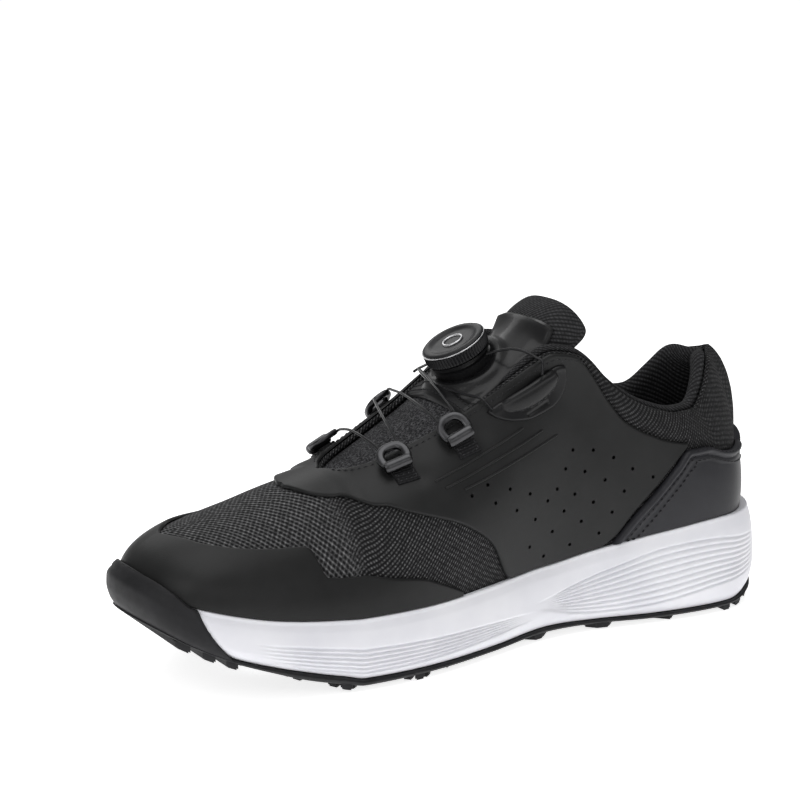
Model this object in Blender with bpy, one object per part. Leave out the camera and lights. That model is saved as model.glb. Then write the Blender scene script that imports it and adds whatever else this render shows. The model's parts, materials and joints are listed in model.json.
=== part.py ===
"""A low cycling shoe for the right foot: a foam midsole on a lugged rubber outsole, a knit upper with overlays, and a
wire lace drawn by a dial. X runs to the toe, Y to the inner (medial) side, Z up. Lengths are metres."""

import math

import bmesh
import bpy
import numpy as np
from mathutils import Matrix, Vector

# Driving sizes
SOLE_LENGTH = 0.292
BALL_WIDTH = 0.106
SIDE_HEIGHT = 0.041
TOE_SPRING = 0.030
UPPER_RISE = 0.077
TOE_SWING = 0.006
BUMPER_RISE = 0.0083
OUTSOLE_THICKNESS = 0.0041

# Layers
GAP = 0.0003
SEAM = 0.0006
CUP_DRAFT = 0.0010
UPPER_WALL = 0.0020
OVERLAY = 0.0012
EDGE_ROLL = 0.0012
COLLAR_PAD = 0.0055
TONGUE_PAD = 0.0042
SADDLE_SKIN = 0.0016
INSOLE_THICKNESS = 0.0035
RIM_TOP = 0.0014
BUMPER_WALL = 0.0032
GROOVE_DEPTH = 0.0008
GROOVES = 6

# Tread
LUG_SIDE = 0.0100
LUG_HEIGHT = 0.0020
LUG_ROOT = 0.0012
LUG_ROW = 0.0160
LUG_COLUMN = 0.0185
LUG_EDGE = 0.0012
BAR_WIDTH = 0.0042
BAR_PITCH = 0.0078
BAR_FROM = 0.0135
BARS = 3

# Cleat well
WELL_LENGTH = 0.085
WELL_WIDTH = 0.051
WELL_CORNER = 0.0140
WELL_PLACE = 0.667
WELL_SHIFT = -0.004
WELL_DEPTH = 0.0105
WELL_RISE = 0.0038
RIM_WIDTH = 0.0038
SLOT_LENGTH = 0.033
SLOT_WIDTH = 0.007
SLOT_PITCH = 0.0156
INSERT_PITCH = 0.0128
INSERT_RADIUS = 0.0026
PLATE_THICKNESS = 0.0026
PLATE_DEPTH = 0.0045
RIM_CLEAR = 0.0008

# Closure
DIAL_RADIUS = 0.0135
DIAL_HEIGHT = 0.0062
DIAL_STAND = 0.0006
BASE_INSET = 0.0006
BASE_TAPER = 0.0010
DIAL_TEETH = 24
BASE_HEIGHT = 0.0052
DIAL_TILT = math.radians(27)
DIAL_PLACE = 0.466
GUIDE_LENGTH = 0.0130
GUIDE_WIDTH = 0.0110
GUIDE_THICKNESS = 0.0020
GUIDE_HOLE = 0.0034
TAB_THICKNESS = 0.0010
TOP_GUIDE_HEIGHT = 0.0035
WIRE_RADIUS = 0.0007
LOOP_PLACES = {("medial", 1): 0.623, ("medial", 2): 0.546, ("lateral", 1): 0.645, ("lateral", 2): 0.550}
HOOK_PLACE = 0.484
HOOK_LIFT = 0.0036
TOP_GUIDE_LOW = 0.496
TOP_GUIDE_HIGH = 0.412
BAR_STEPS = 6
BAR_BOW = (0.0018, 0, 0.0030)
HOOK_BOW = (0.0066, 0, 0.0004)
DIAL_BOW = (-0.0008, 0, 0.0034)
EXIT_REACH = DIAL_RADIUS + 0.0010
EXIT_HEIGHT = 0.0030
EXIT_WAYS = ((-0.45, 0.89), (0.45, -0.89))
WIRE_END = 0.0042

PLAN_COLUMNS = ("along", "medial", "lateral")
PLAN = (
    (0.000, 0.00, 0.00),
    (0.018, 0.37, 0.38),
    (0.066, 0.634, 0.655),
    (0.140, 0.723, 0.76),
    (0.250, 0.683, 0.77),
    (0.370, 0.626, 0.80),
    (0.480, 0.75, 0.87),
    (0.590, 0.931, 0.95),
    (0.700, 1.00, 1.00),
    (0.790, 0.959, 0.96),
    (0.880, 0.879, 0.80),
    (0.945, 0.716, 0.56),
    (0.985, 0.412, 0.29),
    (1.000, 0.00, 0.00),
)

# Heights along the sole: ground as a share of the toe spring; the others stand on the ground, plate as a share of the
# outsole's thickness, rim and bed as shares of the side height, bumper as a share of the bumper's rise over the rim
LEVEL_COLUMNS = ("along", "ground", "plate", "rim", "bed", "bumper")
LEVELS = (
    (0.000, 0.22, 1.00, 0.860, 0.440, 0.00),
    (0.045, 0.08, 1.00, 0.950, 0.530, 0.00),
    (0.095, 0.00, 1.00, 1.000, 0.570, 0.00),
    (0.220, 0.00, 1.00, 0.930, 0.540, 0.00),
    (0.320, 0.03, 0.93, 0.810, 0.480, 0.00),
    (0.400, 0.04, 1.03, 0.720, 0.430, 0.00),
    (0.500, 0.00, 1.00, 0.700, 0.420, 0.00),
    (0.620, 0.00, 1.05, 0.680, 0.380, 0.00),
    (0.720, 0.00, 1.15, 0.685, 0.370, 0.00),
    (0.750, 0.06, 1.20, 0.656, 0.337, 0.00),
    (0.800, 0.18, 1.22, 0.603, 0.298, 0.00),
    (0.850, 0.35, 1.00, 0.534, 0.250, -0.20),
    (0.900, 0.53, 0.90, 0.483, 0.215, -0.15),
    (0.949, 0.74, 0.90, 0.412, 0.180, 0.02),
    (0.965, 0.82, 0.90, 0.375, 0.165, 0.40),
    (0.980, 0.90, 0.90, 0.340, 0.150, 0.72),
    (1.000, 1.00, 0.90, 0.298, 0.135, 1.00),
)

# The upper's ribs, from the toe (way 0) round one side to the heel (way 1). Each rib climbs from the rim to the ridge,
# the throat's edge or the collar's top: along is its top's place on the sole's length, medial and lateral are the
# top's distance from the centre line as a share of half the ball width, rise a share of the upper's rise, slope the
# angle in radians at which it arrives, swell how far its foot leans out, the pulls how full it is, and inset how far
# inside the sole's edge it stands.
RIB_COLUMNS = ("way", "along", "medial", "lateral", "rise", "slope", "swell", "foot_pull", "top_pull", "inset")
RIBS = (
    (0.000, 0.885, 0.000, 0.000, 0.265, 0.02, 0.00, 0.55, 0.60, 0.120),
    (0.100, 0.855, 0.000, 0.000, 0.283, 0.03, 0.00, 0.55, 0.58, 0.122),
    (0.200, 0.800, 0.000, 0.000, 0.325, 0.05, 0.00, 0.58, 0.55, 0.122),
    (0.260, 0.755, 0.000, 0.000, 0.372, 0.08, 0.00, 0.58, 0.52, 0.122),
    (0.320, 0.700, 0.000, 0.000, 0.425, 0.12, 0.00, 0.55, 0.50, 0.122),
    (0.345, 0.682, 0.150, 0.150, 0.440, 0.22, 0.00, 0.53, 0.48, 0.122),
    (0.370, 0.662, 0.250, 0.250, 0.462, 0.32, 0.00, 0.50, 0.46, 0.122),
    (0.410, 0.625, 0.330, 0.330, 0.515, 0.45, 0.00, 0.48, 0.44, 0.122),
    (0.450, 0.585, 0.385, 0.385, 0.585, 0.55, 0.02, 0.46, 0.42, 0.122),
    (0.500, 0.540, 0.430, 0.430, 0.672, 0.62, 0.04, 0.42, 0.40, 0.122),
    (0.545, 0.495, 0.470, 0.480, 0.772, 0.68, 0.06, 0.40, 0.38, 0.122),
    (0.580, 0.455, 0.500, 0.510, 0.862, 0.75, 0.08, 0.38, 0.36, 0.122),
    (0.610, 0.420, 0.520, 0.540, 0.940, 0.82, 0.09, 0.36, 0.35, 0.122),
    (0.635, 0.392, 0.540, 0.570, 0.985, 0.88, 0.10, 0.36, 0.35, 0.122),
    (0.660, 0.358, 0.560, 0.600, 0.965, 0.95, 0.10, 0.36, 0.35, 0.122),
    (0.685, 0.330, 0.575, 0.625, 0.900, 1.02, 0.09, 0.36, 0.35, 0.122),
    (0.710, 0.303, 0.585, 0.640, 0.800, 1.08, 0.08, 0.36, 0.35, 0.122),
    (0.740, 0.266, 0.590, 0.650, 0.700, 1.14, 0.07, 0.36, 0.35, 0.124),
    (0.780, 0.220, 0.580, 0.640, 0.625, 1.18, 0.06, 0.36, 0.35, 0.128),
    (0.820, 0.180, 0.550, 0.600, 0.590, 1.20, 0.04, 0.36, 0.35, 0.136),
    (0.860, 0.146, 0.490, 0.530, 0.590, 1.20, 0.04, 0.36, 0.38, 0.150),
    (0.900, 0.116, 0.400, 0.430, 0.690, 1.20, 0.05, 0.36, 0.42, 0.185),
    (0.945, 0.090, 0.260, 0.280, 0.810, 1.20, 0.06, 0.36, 0.45, 0.215),
    (1.000, 0.062, 0.000, 0.000, 0.860, 1.20, 0.07, 0.36, 0.45, 0.235),
)

WAYS = (
    0.000, 0.022, 0.045, 0.070, 0.095, 0.122, 0.150, 0.185, 0.222, 0.260, 0.290, 0.320, 0.345, 0.370, 0.395, 0.422,
    0.460, 0.500, 0.540, 0.575, 0.605, 0.635, 0.660, 0.685, 0.710, 0.740, 0.775, 0.810, 0.845, 0.875, 0.905, 0.935,
    0.968, 1.000,
)
CLIMBS = (0.0, 0.10, 0.24, 0.40, 0.56, 0.72, 0.87, 1.0)
SIDES = ("medial", "lateral")

# Overlays: from and to are the climbs between which the piece covers the upper at each way
COVER_COLUMNS = ("way", "start", "stop")
TOE_CAP = (
    (0.000, 0.0, 0.70),
    (0.070, 0.0, 0.67),
    (0.122, 0.0, 0.59),
    (0.185, 0.0, 0.50),
    (0.222, 0.0, 0.465),
    (0.260, 0.0, 0.43),
    (0.290, 0.0, 0.225),
    (0.345, 0.0, 0.205),
    (0.395, 0.0, 0.16),
    (0.422, 0.0, 0.105),
    (0.460, 0.0, 0.02),
)
QUARTER = (
    (0.260, 0.97, 1.0),
    (0.290, 0.77, 1.0),
    (0.320, 0.675, 1.0),
    (0.345, 0.68, 1.0),
    (0.370, 0.67, 1.0),
    (0.395, 0.59, 1.0),
    (0.422, 0.51, 1.0),
    (0.460, 0.395, 1.0),
    (0.500, 0.24, 1.0),
    (0.540, 0.00, 1.0),
    (0.660, 0.00, 1.0),
    (0.685, 0.04, 0.80),
    (0.710, 0.17, 0.75),
    (0.740, 0.33, 0.75),
    (0.775, 0.53, 0.73),
    (0.810, 0.70, 0.72),
)
COUNTER = (
    (0.685, 0.0, 0.015),
    (0.710, 0.0, 0.145),
    (0.740, 0.0, 0.30),
    (0.775, 0.0, 0.50),
    (0.810, 0.0, 0.66),
    (0.845, 0.0, 0.66),
    (0.900, 0.0, 0.50),
    (1.000, 0.0, 0.38),
)


def curve_slopes(x, y):
    step = np.diff(x)
    slope = np.diff(y) / step
    out = np.zeros(len(x))
    for i in range(1, len(x) - 1):
        if slope[i - 1] * slope[i] > 0:
            first = 2 * step[i] + step[i - 1]
            second = step[i] + 2 * step[i - 1]
            out[i] = (first + second) / (first / slope[i - 1] + second / slope[i])
    out[0] = slope[0]
    out[-1] = slope[-1]
    return out


def read(columns, rows, column, at):
    """A named column of a table as a smooth curve with no overshoot, at places of its first column."""
    x = np.array([row[0] for row in rows], float)
    y = np.array([row[columns.index(column)] for row in rows], float)
    slopes = curve_slopes(x, y)
    at = np.clip(np.asarray(at, float), x[0], x[-1])
    i = np.clip(np.searchsorted(x, at, side="right") - 1, 0, len(x) - 2)
    width = x[i + 1] - x[i]
    t = (at - x[i]) / width
    start = (1 + 2 * t) * (1 - t) ** 2 * y[i] + t * (1 - t) ** 2 * width * slopes[i]
    stop = t * t * (3 - 2 * t) * y[i + 1] + t * t * (t - 1) * width * slopes[i + 1]
    return start + stop


def closed_spline(points, steps):
    """A smooth closed curve through the points, with the same number of steps in each span."""
    count = len(points)
    ends = np.roll(points, -1, axis=0)
    span = np.sqrt(np.linalg.norm(ends - points, axis=1))
    matrix = np.zeros((count, count))
    right = np.zeros((count, 2))
    for i in range(count):
        before = span[i - 1]
        here = span[i]
        matrix[i, i - 1] += before
        matrix[i, i] += 2 * (before + here)
        matrix[i, (i + 1) % count] += here
        right[i] = 6 * ((ends[i] - points[i]) / here - (points[i] - points[i - 1]) / before)
    bend = np.linalg.solve(matrix, right)
    out = []
    for i in range(count):
        j = (i + 1) % count
        h = span[i]
        t = np.linspace(0, h, steps, endpoint=False)[:, None]
        rest = h - t
        arc = (bend[i] * rest**3 + bend[j] * t**3) / (6 * h)
        line = (points[i] / h - bend[i] * h / 6) * rest + (points[j] / h - bend[j] * h / 6) * t
        out.append(arc + line)
    return np.vstack(out)


def centre_line(along):
    return TOE_SWING * np.clip((np.asarray(along) - 0.6) / 0.4, 0, 1) ** 2


def outline_sides():
    """Both sides of the sole's outline from toe to heel: share of the way, points and outward normals."""
    steps = 60
    half = BALL_WIDTH / 2
    knots = []
    for along, medial, _ in reversed(PLAN):
        knots.append(((along - 0.5) * SOLE_LENGTH, centre_line(along) + medial * half))
    for along, _, lateral in PLAN[1:-1]:
        knots.append(((along - 0.5) * SOLE_LENGTH, centre_line(along) - lateral * half))
    points = closed_spline(np.array(knots), steps)
    heel = (len(PLAN) - 1) * steps
    tangent = np.roll(points, -1, axis=0) - np.roll(points, 1, axis=0)
    normal = np.column_stack([-tangent[:, 1], tangent[:, 0]])
    normal /= np.linalg.norm(normal, axis=1)[:, None]
    if (normal * points).sum() < 0:
        normal = -normal
    points = np.vstack([points, points[:1]])
    normal = np.vstack([normal, normal[:1]])
    sides = {}
    for name, part in (("medial", slice(0, heel + 1)), ("lateral", slice(len(points) - 1, heel - 1, -1))):
        line = points[part]
        run = np.r_[0, np.cumsum(np.linalg.norm(np.diff(line, axis=0), axis=1))]
        sides[name] = (run / run[-1], line, normal[part])
    return sides


OUTLINE = outline_sides()


def sole_edge(side, way, inset):
    """x, y, along and outward normal of the sole's outline, moved in by inset, at a share of the way to the heel."""
    run, line, out = OUTLINE[side]
    x = np.interp(way, run, line[:, 0])
    y = np.interp(way, run, line[:, 1])
    nx = np.interp(way, run, out[:, 0])
    ny = np.interp(way, run, out[:, 1])
    size = np.hypot(nx, ny)
    nx = nx / size
    ny = ny / size
    return x - inset * nx, y - inset * ny, x / SOLE_LENGTH + 0.5, nx, ny


def ground(along):
    return TOE_SPRING * read(LEVEL_COLUMNS, LEVELS, "ground", along)


def level(name, along):
    """Height of the outsole's top (plate), the midsole's rim or its bed."""
    size = OUTSOLE_THICKNESS if name == "plate" else SIDE_HEIGHT
    return ground(along) + size * read(LEVEL_COLUMNS, LEVELS, name, along)


def bumper_top(along):
    return level("rim", along) + BUMPER_RISE * read(LEVEL_COLUMNS, LEVELS, "bumper", along)


def rib_inset(way):
    return SIDE_HEIGHT * read(RIB_COLUMNS, RIBS, "inset", way)


def ridge_fall(along):
    """Slope of the ridge over the forefoot, towards the toe."""
    rows = sorted((row[1], row[4]) for row in RIBS if row[2] == 0 and row[1] > 0.5)
    step = 0.01
    high = np.clip(along + step, rows[0][0], rows[-1][0])
    low = np.clip(along - step, rows[0][0], rows[-1][0])
    fall = read(("along", "rise"), rows, "rise", high) - read(("along", "rise"), rows, "rise", low)
    return fall * UPPER_RISE / (np.maximum(high - low, 1e-6) * SOLE_LENGTH)


def rib(side, way, climb):
    """A point of the upper's outer surface. Way runs from toe to heel and climb from the rim to the top edge."""
    way, climb = np.broadcast_arrays(np.asarray(way, float), np.asarray(climb, float))

    def look(column):
        return read(RIB_COLUMNS, RIBS, column, way)

    x0, y0, along0, nx, ny = sole_edge(side, way, rib_inset(way))
    z0 = level("rim", along0)
    sign = 1 if side == "medial" else -1
    x1 = (look("along") - 0.5) * SOLE_LENGTH
    y1 = centre_line(look("along")) + sign * look(side) * BALL_WIDTH / 2
    z1 = SIDE_HEIGHT + look("rise") * UPPER_RISE
    run = np.hypot(x1 - x0, y1 - y0)
    dx = (x1 - x0) / run
    dy = (y1 - y0) / run
    tall = z1 - z0
    open_top = np.clip(look("medial") / 0.2, 0, 1)
    flat = (1 - open_top) + open_top * np.cos(look("slope"))
    steep = (1 - open_top) * ridge_fall(look("along")) * dx + open_top * np.sin(look("slope"))
    size = np.hypot(flat, steep)
    pull = look("top_pull") * ((1 - open_top) * run + open_top * np.hypot(run, tall))
    swell = look("swell") * tall
    corners = (
        (x0, y0, z0),
        (x0 + nx * swell, y0 + ny * swell, z0 + look("foot_pull") * tall),
        (x1 - dx * flat / size * pull, y1 - dy * flat / size * pull, z1 - steep / size * pull),
        (x1, y1, z1),
    )
    t = climb
    weights = ((1 - t) ** 3, 3 * t * (1 - t) ** 2, 3 * t * t * (1 - t), t**3)
    return np.stack([sum(w * c[k] for w, c in zip(weights, corners)) for k in range(3)], axis=-1)


def skin(side, way, climb, lift):
    """The upper's surface moved out by lift along its normal."""
    way, climb = np.broadcast_arrays(np.asarray(way, float), np.asarray(climb, float))
    other = "lateral" if side == "medial" else "medial"
    step = 0.006
    over_ridge = (climb > 0.98) & (way < 0.325)
    own_before = rib(side, np.maximum(way - step, 0), climb)
    before = np.where(((way < step) & ~over_ridge)[..., None], rib(other, np.abs(step - way), climb), own_before)
    past = np.minimum(2 - way - step, 1)
    after = np.where((way > 1 - step)[..., None], rib(other, past, climb), rib(side, np.minimum(way + step, 1), climb))
    low = rib(side, way, np.maximum(climb - 0.02, 0))
    high = rib(side, way, np.minimum(climb + 0.02, 1))
    normal = np.cross(after - before, high - low)
    if side == "lateral":
        normal = -normal
    fall = ridge_fall(read(RIB_COLUMNS, RIBS, "along", way))
    ridge = np.stack([-fall, np.zeros_like(fall), np.ones_like(fall)], axis=-1)
    normal = np.where((over_ridge & (climb > 0.999))[..., None], ridge, normal)
    normal /= np.linalg.norm(normal, axis=-1)[..., None]
    return rib(side, way, climb) + np.asarray(lift)[..., None] * normal


# Scene and mesh helpers

for old in list(bpy.data.objects):
    bpy.data.objects.remove(old, do_unlink=True)

shoe_collection = bpy.data.collections.new("cycling_shoe")
cutter_collection = bpy.data.collections.new("cutters")
bpy.context.scene.collection.children.link(shoe_collection)
bpy.context.scene.collection.children.link(cutter_collection)


def material(name, colour, roughness, metallic=0.0):
    made = bpy.data.materials.new(name)
    made.use_nodes = True
    shader = made.node_tree.nodes["Principled BSDF"]
    shader.inputs["Base Color"].default_value = (*colour, 1)
    shader.inputs["Roughness"].default_value = roughness
    shader.inputs["Metallic"].default_value = metallic
    return made


RUBBER = material("rubber", (0.020, 0.020, 0.022), 0.65)
FOAM = material("foam", (0.86, 0.86, 0.89), 0.55)
KNIT = material("knit", (0.045, 0.045, 0.048), 0.90)
LEATHER = material("leather", (0.018, 0.018, 0.019), 0.42)
LINING = material("lining", (0.025, 0.025, 0.026), 0.85)
PLASTIC = material("plastic", (0.015, 0.015, 0.016), 0.35)
GLOSS = material("gloss", (0.012, 0.012, 0.013), 0.20)
METAL = material("metal", (0.20, 0.20, 0.21), 0.30, 1.0)


def add(name, mesh, finish, cutter=False):
    made = bpy.data.objects.new(name, mesh)
    if cutter:
        cutter_collection.objects.link(made)
        made.hide_render = True
        made.display_type = "WIRE"
    else:
        shoe_collection.objects.link(made)
        mesh.materials.append(finish)
        mesh.shade_smooth()
        mesh.set_sharp_from_angle(angle=math.radians(35))
    return made


def mesh_from(name, grids):
    """A mesh of grids of points: each grid's neighbours become quads, and doubled points become one."""
    mesh = bpy.data.meshes.new(name)
    work = bmesh.new()
    for grid in grids:
        corners = [[work.verts.new(point) for point in row] for row in grid]
        for upper_row, lower_row in zip(corners, corners[1:]):
            for i in range(len(upper_row) - 1):
                work.faces.new((upper_row[i], upper_row[i + 1], lower_row[i + 1], lower_row[i]))
    bmesh.ops.remove_doubles(work, verts=work.verts, dist=1e-6)
    bmesh.ops.dissolve_degenerate(work, edges=work.edges, dist=1e-7)
    bmesh.ops.recalc_face_normals(work, faces=work.faces)
    work.to_mesh(mesh)
    work.free()
    return mesh


def ring(points_of_side):
    """One closed loop of points: medial side from toe to heel, then the lateral side back to the toe."""
    medial = points_of_side("medial")
    lateral = points_of_side("lateral")
    return np.vstack([medial, lateral[::-1]])


def sole_ring(inset, height):
    """A ring round the sole: inset and height are numbers or functions of side, way and along."""

    def points(side):
        ways = np.array(WAYS)
        along = sole_edge(side, ways, 0)[2]
        moved = inset(side, ways, along) if callable(inset) else np.full(len(ways), inset)
        x, y, _, _, _ = sole_edge(side, ways, moved)
        z = height(along) if callable(height) else np.full(len(ways), height)
        return np.column_stack([x, y, z])

    return ring(points)


def ladder(loop):
    """Rungs across a ring, from each medial point to the lateral point beside it."""
    half = len(loop) // 2
    return np.stack([loop[:half], loop[:half - 1:-1]], axis=1)


def ring_solid(name, loops, finish, cutter=False):
    """A closed body through loops of equal length, with its first and last loop filled by rungs."""
    walls = np.array([np.vstack([loop, loop[:1]]) for loop in loops])
    return add(name, mesh_from(name, [walls, ladder(loops[0]), ladder(loops[-1])]), finish, cutter)


def boolean(target, other, operation):
    cut = target.modifiers.new(operation.lower(), "BOOLEAN")
    cut.operation = operation
    cut.solver = "EXACT"
    cut.object = other


def cover(table, lift, thickness, extra=None, sides=SIDES):
    """Two matching grids a side, over the upper between two climbs, on its own lattice of ribs and off the rim."""
    low_way = table[0][0]
    high_way = table[-1][0]
    ways = sorted({w for w in WAYS if low_way < w < high_way} | {low_way, high_way})
    ways = np.array(ways)
    start = read(COVER_COLUMNS, table, "start", ways)
    stop = read(COVER_COLUMNS, table, "stop", ways)
    inner = []
    outer = []
    for side in sides:
        rows_in = []
        rows_out = []
        floor = level("rim", sole_edge(side, ways, 0)[2]) + GAP
        for climb in CLIMBS:
            held = np.clip(climb, start, np.maximum(stop, start))
            more = 0 if extra is None else extra(ways, held, start, stop)
            for rows, height in ((rows_in, lift), (rows_out, lift + thickness + more)):
                points = skin(side, ways, held, height + 0 * ways)
                points[:, 2] = np.maximum(points[:, 2], floor)
                rows.append(points)
        inner.append(np.array(rows_in))
        outer.append(np.array(rows_out))
    return inner, outer


def shell_from(name, inner, outer, finish, cutter=False):
    """A closed shell between matching grids, walled where the piece ends and open where its sides join."""
    mesh = bpy.data.meshes.new(name)
    work = bmesh.new()
    for grid_in, grid_out in zip(inner, outer):
        first, second = [[[work.verts.new(point) for point in row] for row in grid] for grid in (grid_in, grid_out)]
        rows = len(first)
        columns = len(first[0])
        for corners in (first, second):
            for i in range(rows - 1):
                for j in range(columns - 1):
                    work.faces.new((corners[i][j], corners[i][j + 1], corners[i + 1][j + 1], corners[i + 1][j]))
        walls = []
        for j in range(columns - 1):
            for i in (0, rows - 1):
                walls.append((first[i][j], first[i][j + 1], second[i][j + 1], second[i][j]))
        for i in range(rows - 1):
            for j in (0, columns - 1):
                walls.append((first[i][j], first[i + 1][j], second[i + 1][j], second[i][j]))
        for corners in walls:
            work.faces.new(corners).material_index = 1
    bmesh.ops.remove_doubles(work, verts=work.verts, dist=3e-6)
    bmesh.ops.dissolve_degenerate(work, edges=work.edges, dist=1e-6)
    seams = []
    for face in work.faces:
        if face.material_index == 1:
            plain = [sum(other.material_index == 0 for other in edge.link_faces) for edge in face.edges]
            if max(plain) >= 2:
                seams.append(face)
    bmesh.ops.delete(work, geom=seams, context="FACES_ONLY")
    loose = [edge for edge in work.edges if not edge.link_faces]
    bmesh.ops.delete(work, geom=loose, context="EDGES")
    for face in work.faces:
        face.material_index = 0
    bmesh.ops.recalc_face_normals(work, faces=work.faces)
    work.to_mesh(mesh)
    work.free()
    return add(name, mesh, finish, cutter)


# Upper


def make_upper():
    inner = []
    outer = []
    ways = np.array(WAYS)
    for side in SIDES:
        rows_out = []
        rows_in = []
        along = sole_edge(side, ways, 0)[2]
        bed = level("bed", along) + GAP
        x, y, _, _, _ = sole_edge(side, ways, rib_inset(ways) + CUP_DRAFT)
        rows_out.append(np.column_stack([x, y, bed]))
        x, y, _, _, _ = sole_edge(side, ways, rib_inset(ways) + CUP_DRAFT + UPPER_WALL)
        rows_in.append(np.column_stack([x, y, bed]))
        for climb in CLIMBS:
            rows_out.append(skin(side, ways, climb, np.zeros(len(ways))))
            rows_in.append(skin(side, ways, climb, np.full(len(ways), -UPPER_WALL)))
        outer.append(np.array(rows_out))
        inner.append(np.array(rows_in))
    return shell_from("upper", inner, outer, KNIT)


def make_overlays():
    def rolled(ways, held, start, stop):
        return EDGE_ROLL * np.clip(1 - (stop - held) / 0.14, 0, 1)

    for name, table, extra in (
        ("toe_cap", TOE_CAP, None),
        ("quarter_panel", QUARTER, None),
        ("heel_counter", COUNTER, rolled),
    ):
        inner, outer = cover(table, SEAM, OVERLAY, extra)
        shell_from(name, inner, outer, LEATHER)


def loop_sweep(name, loops, finish):
    """A closed body through loops of equal length, capped by its first and last loop."""
    mesh = bpy.data.meshes.new(name)
    work = bmesh.new()
    rings = [[work.verts.new(point) for point in loop] for loop in loops]
    for low, high in zip(rings, rings[1:]):
        for i in range(len(low)):
            j = (i + 1) % len(low)
            work.faces.new((low[i], low[j], high[j], high[i]))
    work.faces.new(rings[0])
    work.faces.new(rings[-1][::-1])
    bmesh.ops.recalc_face_normals(work, faces=work.faces)
    work.to_mesh(mesh)
    work.free()
    return add(name, mesh, finish)


# Collar: at each way a closed loop, down the upper's inner face and up the padding's, with a roll over the top edge.
# The roll's points are shares of the padding, outwards and upwards from the inner face's top.
COLLAR_COLUMNS = ("way", "pad", "low")
COLLAR = (
    (0.575, 0.45, 0.80),
    (0.635, 0.90, 0.62),
    (0.740, 1.00, 0.42),
    (0.845, 1.05, 0.40),
    (1.000, 1.25, 0.45),
)
COLLAR_ROLL = ((0.00, 0.05), (0.14, 0.26), (0.06, 0.52), (-0.26, 0.70), (-0.66, 0.56), (-0.95, 0.14))


def edge_frame(side, way):
    """Top point of a rib with its outward and upward directions."""
    top = rib(side, way, 1.0)
    up = top - rib(side, way, 0.95)
    up = up / np.linalg.norm(up)
    out = skin(side, way, np.float64(1.0), np.float64(1.0)) - top
    return top, out, up


def collar_loop(side, way):
    pad = COLLAR_PAD * float(read(COLLAR_COLUMNS, COLLAR, "pad", way))
    low = float(read(COLLAR_COLUMNS, COLLAR, "low", way))
    clear = UPPER_WALL + SEAM
    climbs = np.linspace(low, 1, 4)
    points = [skin(side, way, climb, np.float64(-clear)) for climb in climbs]
    top, out, up = edge_frame(side, way)
    base = top - out * clear
    points += [base + out * (pad * a) + up * (pad * b) for a, b in COLLAR_ROLL]
    for climb, full in ((0.97, 1.0), (climbs[2], 0.95), (climbs[1], 0.75)):
        points.append(skin(side, way, climb, np.float64(-clear - pad * full)))
    points.append(skin(side, way, climbs[0], np.float64(-clear - pad * 0.15)))
    return points


def make_collar():
    ways = [way for way in WAYS if way >= COLLAR[0][0]]
    loops = [collar_loop("medial", way) for way in ways]
    loops += [collar_loop("lateral", way) for way in ways[-2::-1]]
    return loop_sweep("collar", loops, LINING)


# Tongue: the ribs' own inner face continued across the throat. Crown is how far its middle stands up.
TONGUE_COLUMNS = ("way", "crown", "pad")
TONGUE = (
    (0.290, 0.00, 0.60),
    (0.345, 0.02, 0.70),
    (0.422, 0.35, 0.80),
    (0.540, 0.80, 1.00),
    (0.635, 1.00, 1.30),
)
TONGUE_CROWN = 0.0050
TONGUE_BACK = 0.0170
TONGUE_RISE = 0.0135
TONGUE_HALF = 0.0205
# The free top of the tongue: shares of the way back, the rise, the half width, the fall of its edge and the pad
TONGUE_TIP_COLUMNS = ("back", "rise", "half", "fall", "pad")
TONGUE_TIP = (
    (0.40, 0.48, 1.02, 0.26, 1.60),
    (0.75, 0.85, 0.98, 0.30, 1.80),
    (0.96, 1.00, 0.88, 0.32, 1.40),
    (1.04, 0.98, 0.80, 0.32, 0.70),
)
FLANK = (0.86, 0.93, 0.985)
ACROSS = (0.16, 0.50)


def tongue_lift(way):
    """How far under the upper's outer face the tongue lies: under the wall, and under the collar where that starts."""
    pad = float(read(COLLAR_COLUMNS, COLLAR, "pad", way)) if way > 0.56 else 0.0
    return UPPER_WALL + 2 * GAP + pad * (COLLAR_PAD + GAP * 3)


def tongue_middle(way):
    lift = tongue_lift(way)
    sides = [skin(side, way, np.float64(1.0), np.float64(-lift)) for side in SIDES]
    crown = TONGUE_CROWN * float(read(TONGUE_COLUMNS, TONGUE, "crown", way))
    return (sides[0] + sides[1]) / 2 + np.array([crown * 0.5, 0, crown * 0.87])


def tongue_row(way):
    """The tongue's upper and lower points across one station, from the medial flank to the lateral one."""
    lift = tongue_lift(way)
    pad = TONGUE_PAD * float(read(TONGUE_COLUMNS, TONGUE, "pad", way))
    middle = tongue_middle(way)
    step = 0.012
    run = tongue_middle(way + step) - tongue_middle(way - step)
    up = np.array([-run[2], 0, run[0]])
    up *= np.sign(up[2]) / np.linalg.norm(up)
    top = {}
    bottom = {}
    for side in SIDES:
        highs = [skin(side, way, climb, np.float64(-lift)) for climb in FLANK]
        lows = [skin(side, way, climb, np.float64(-lift - pad * full)) for climb, full in zip(FLANK, (0.5, 0.8, 0.95))]
        for share in ACROSS:
            curve = math.sin(share * math.pi / 2)
            point = highs[2] + (middle - highs[2]) * np.array([share, share, curve])
            highs.append(point)
            lows.append(point - up * pad)
        top[side] = highs
        bottom[side] = lows
    high = top["medial"] + [middle] + top["lateral"][::-1]
    low = bottom["medial"] + [middle - up * pad] + bottom["lateral"][::-1]
    return high, low


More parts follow.
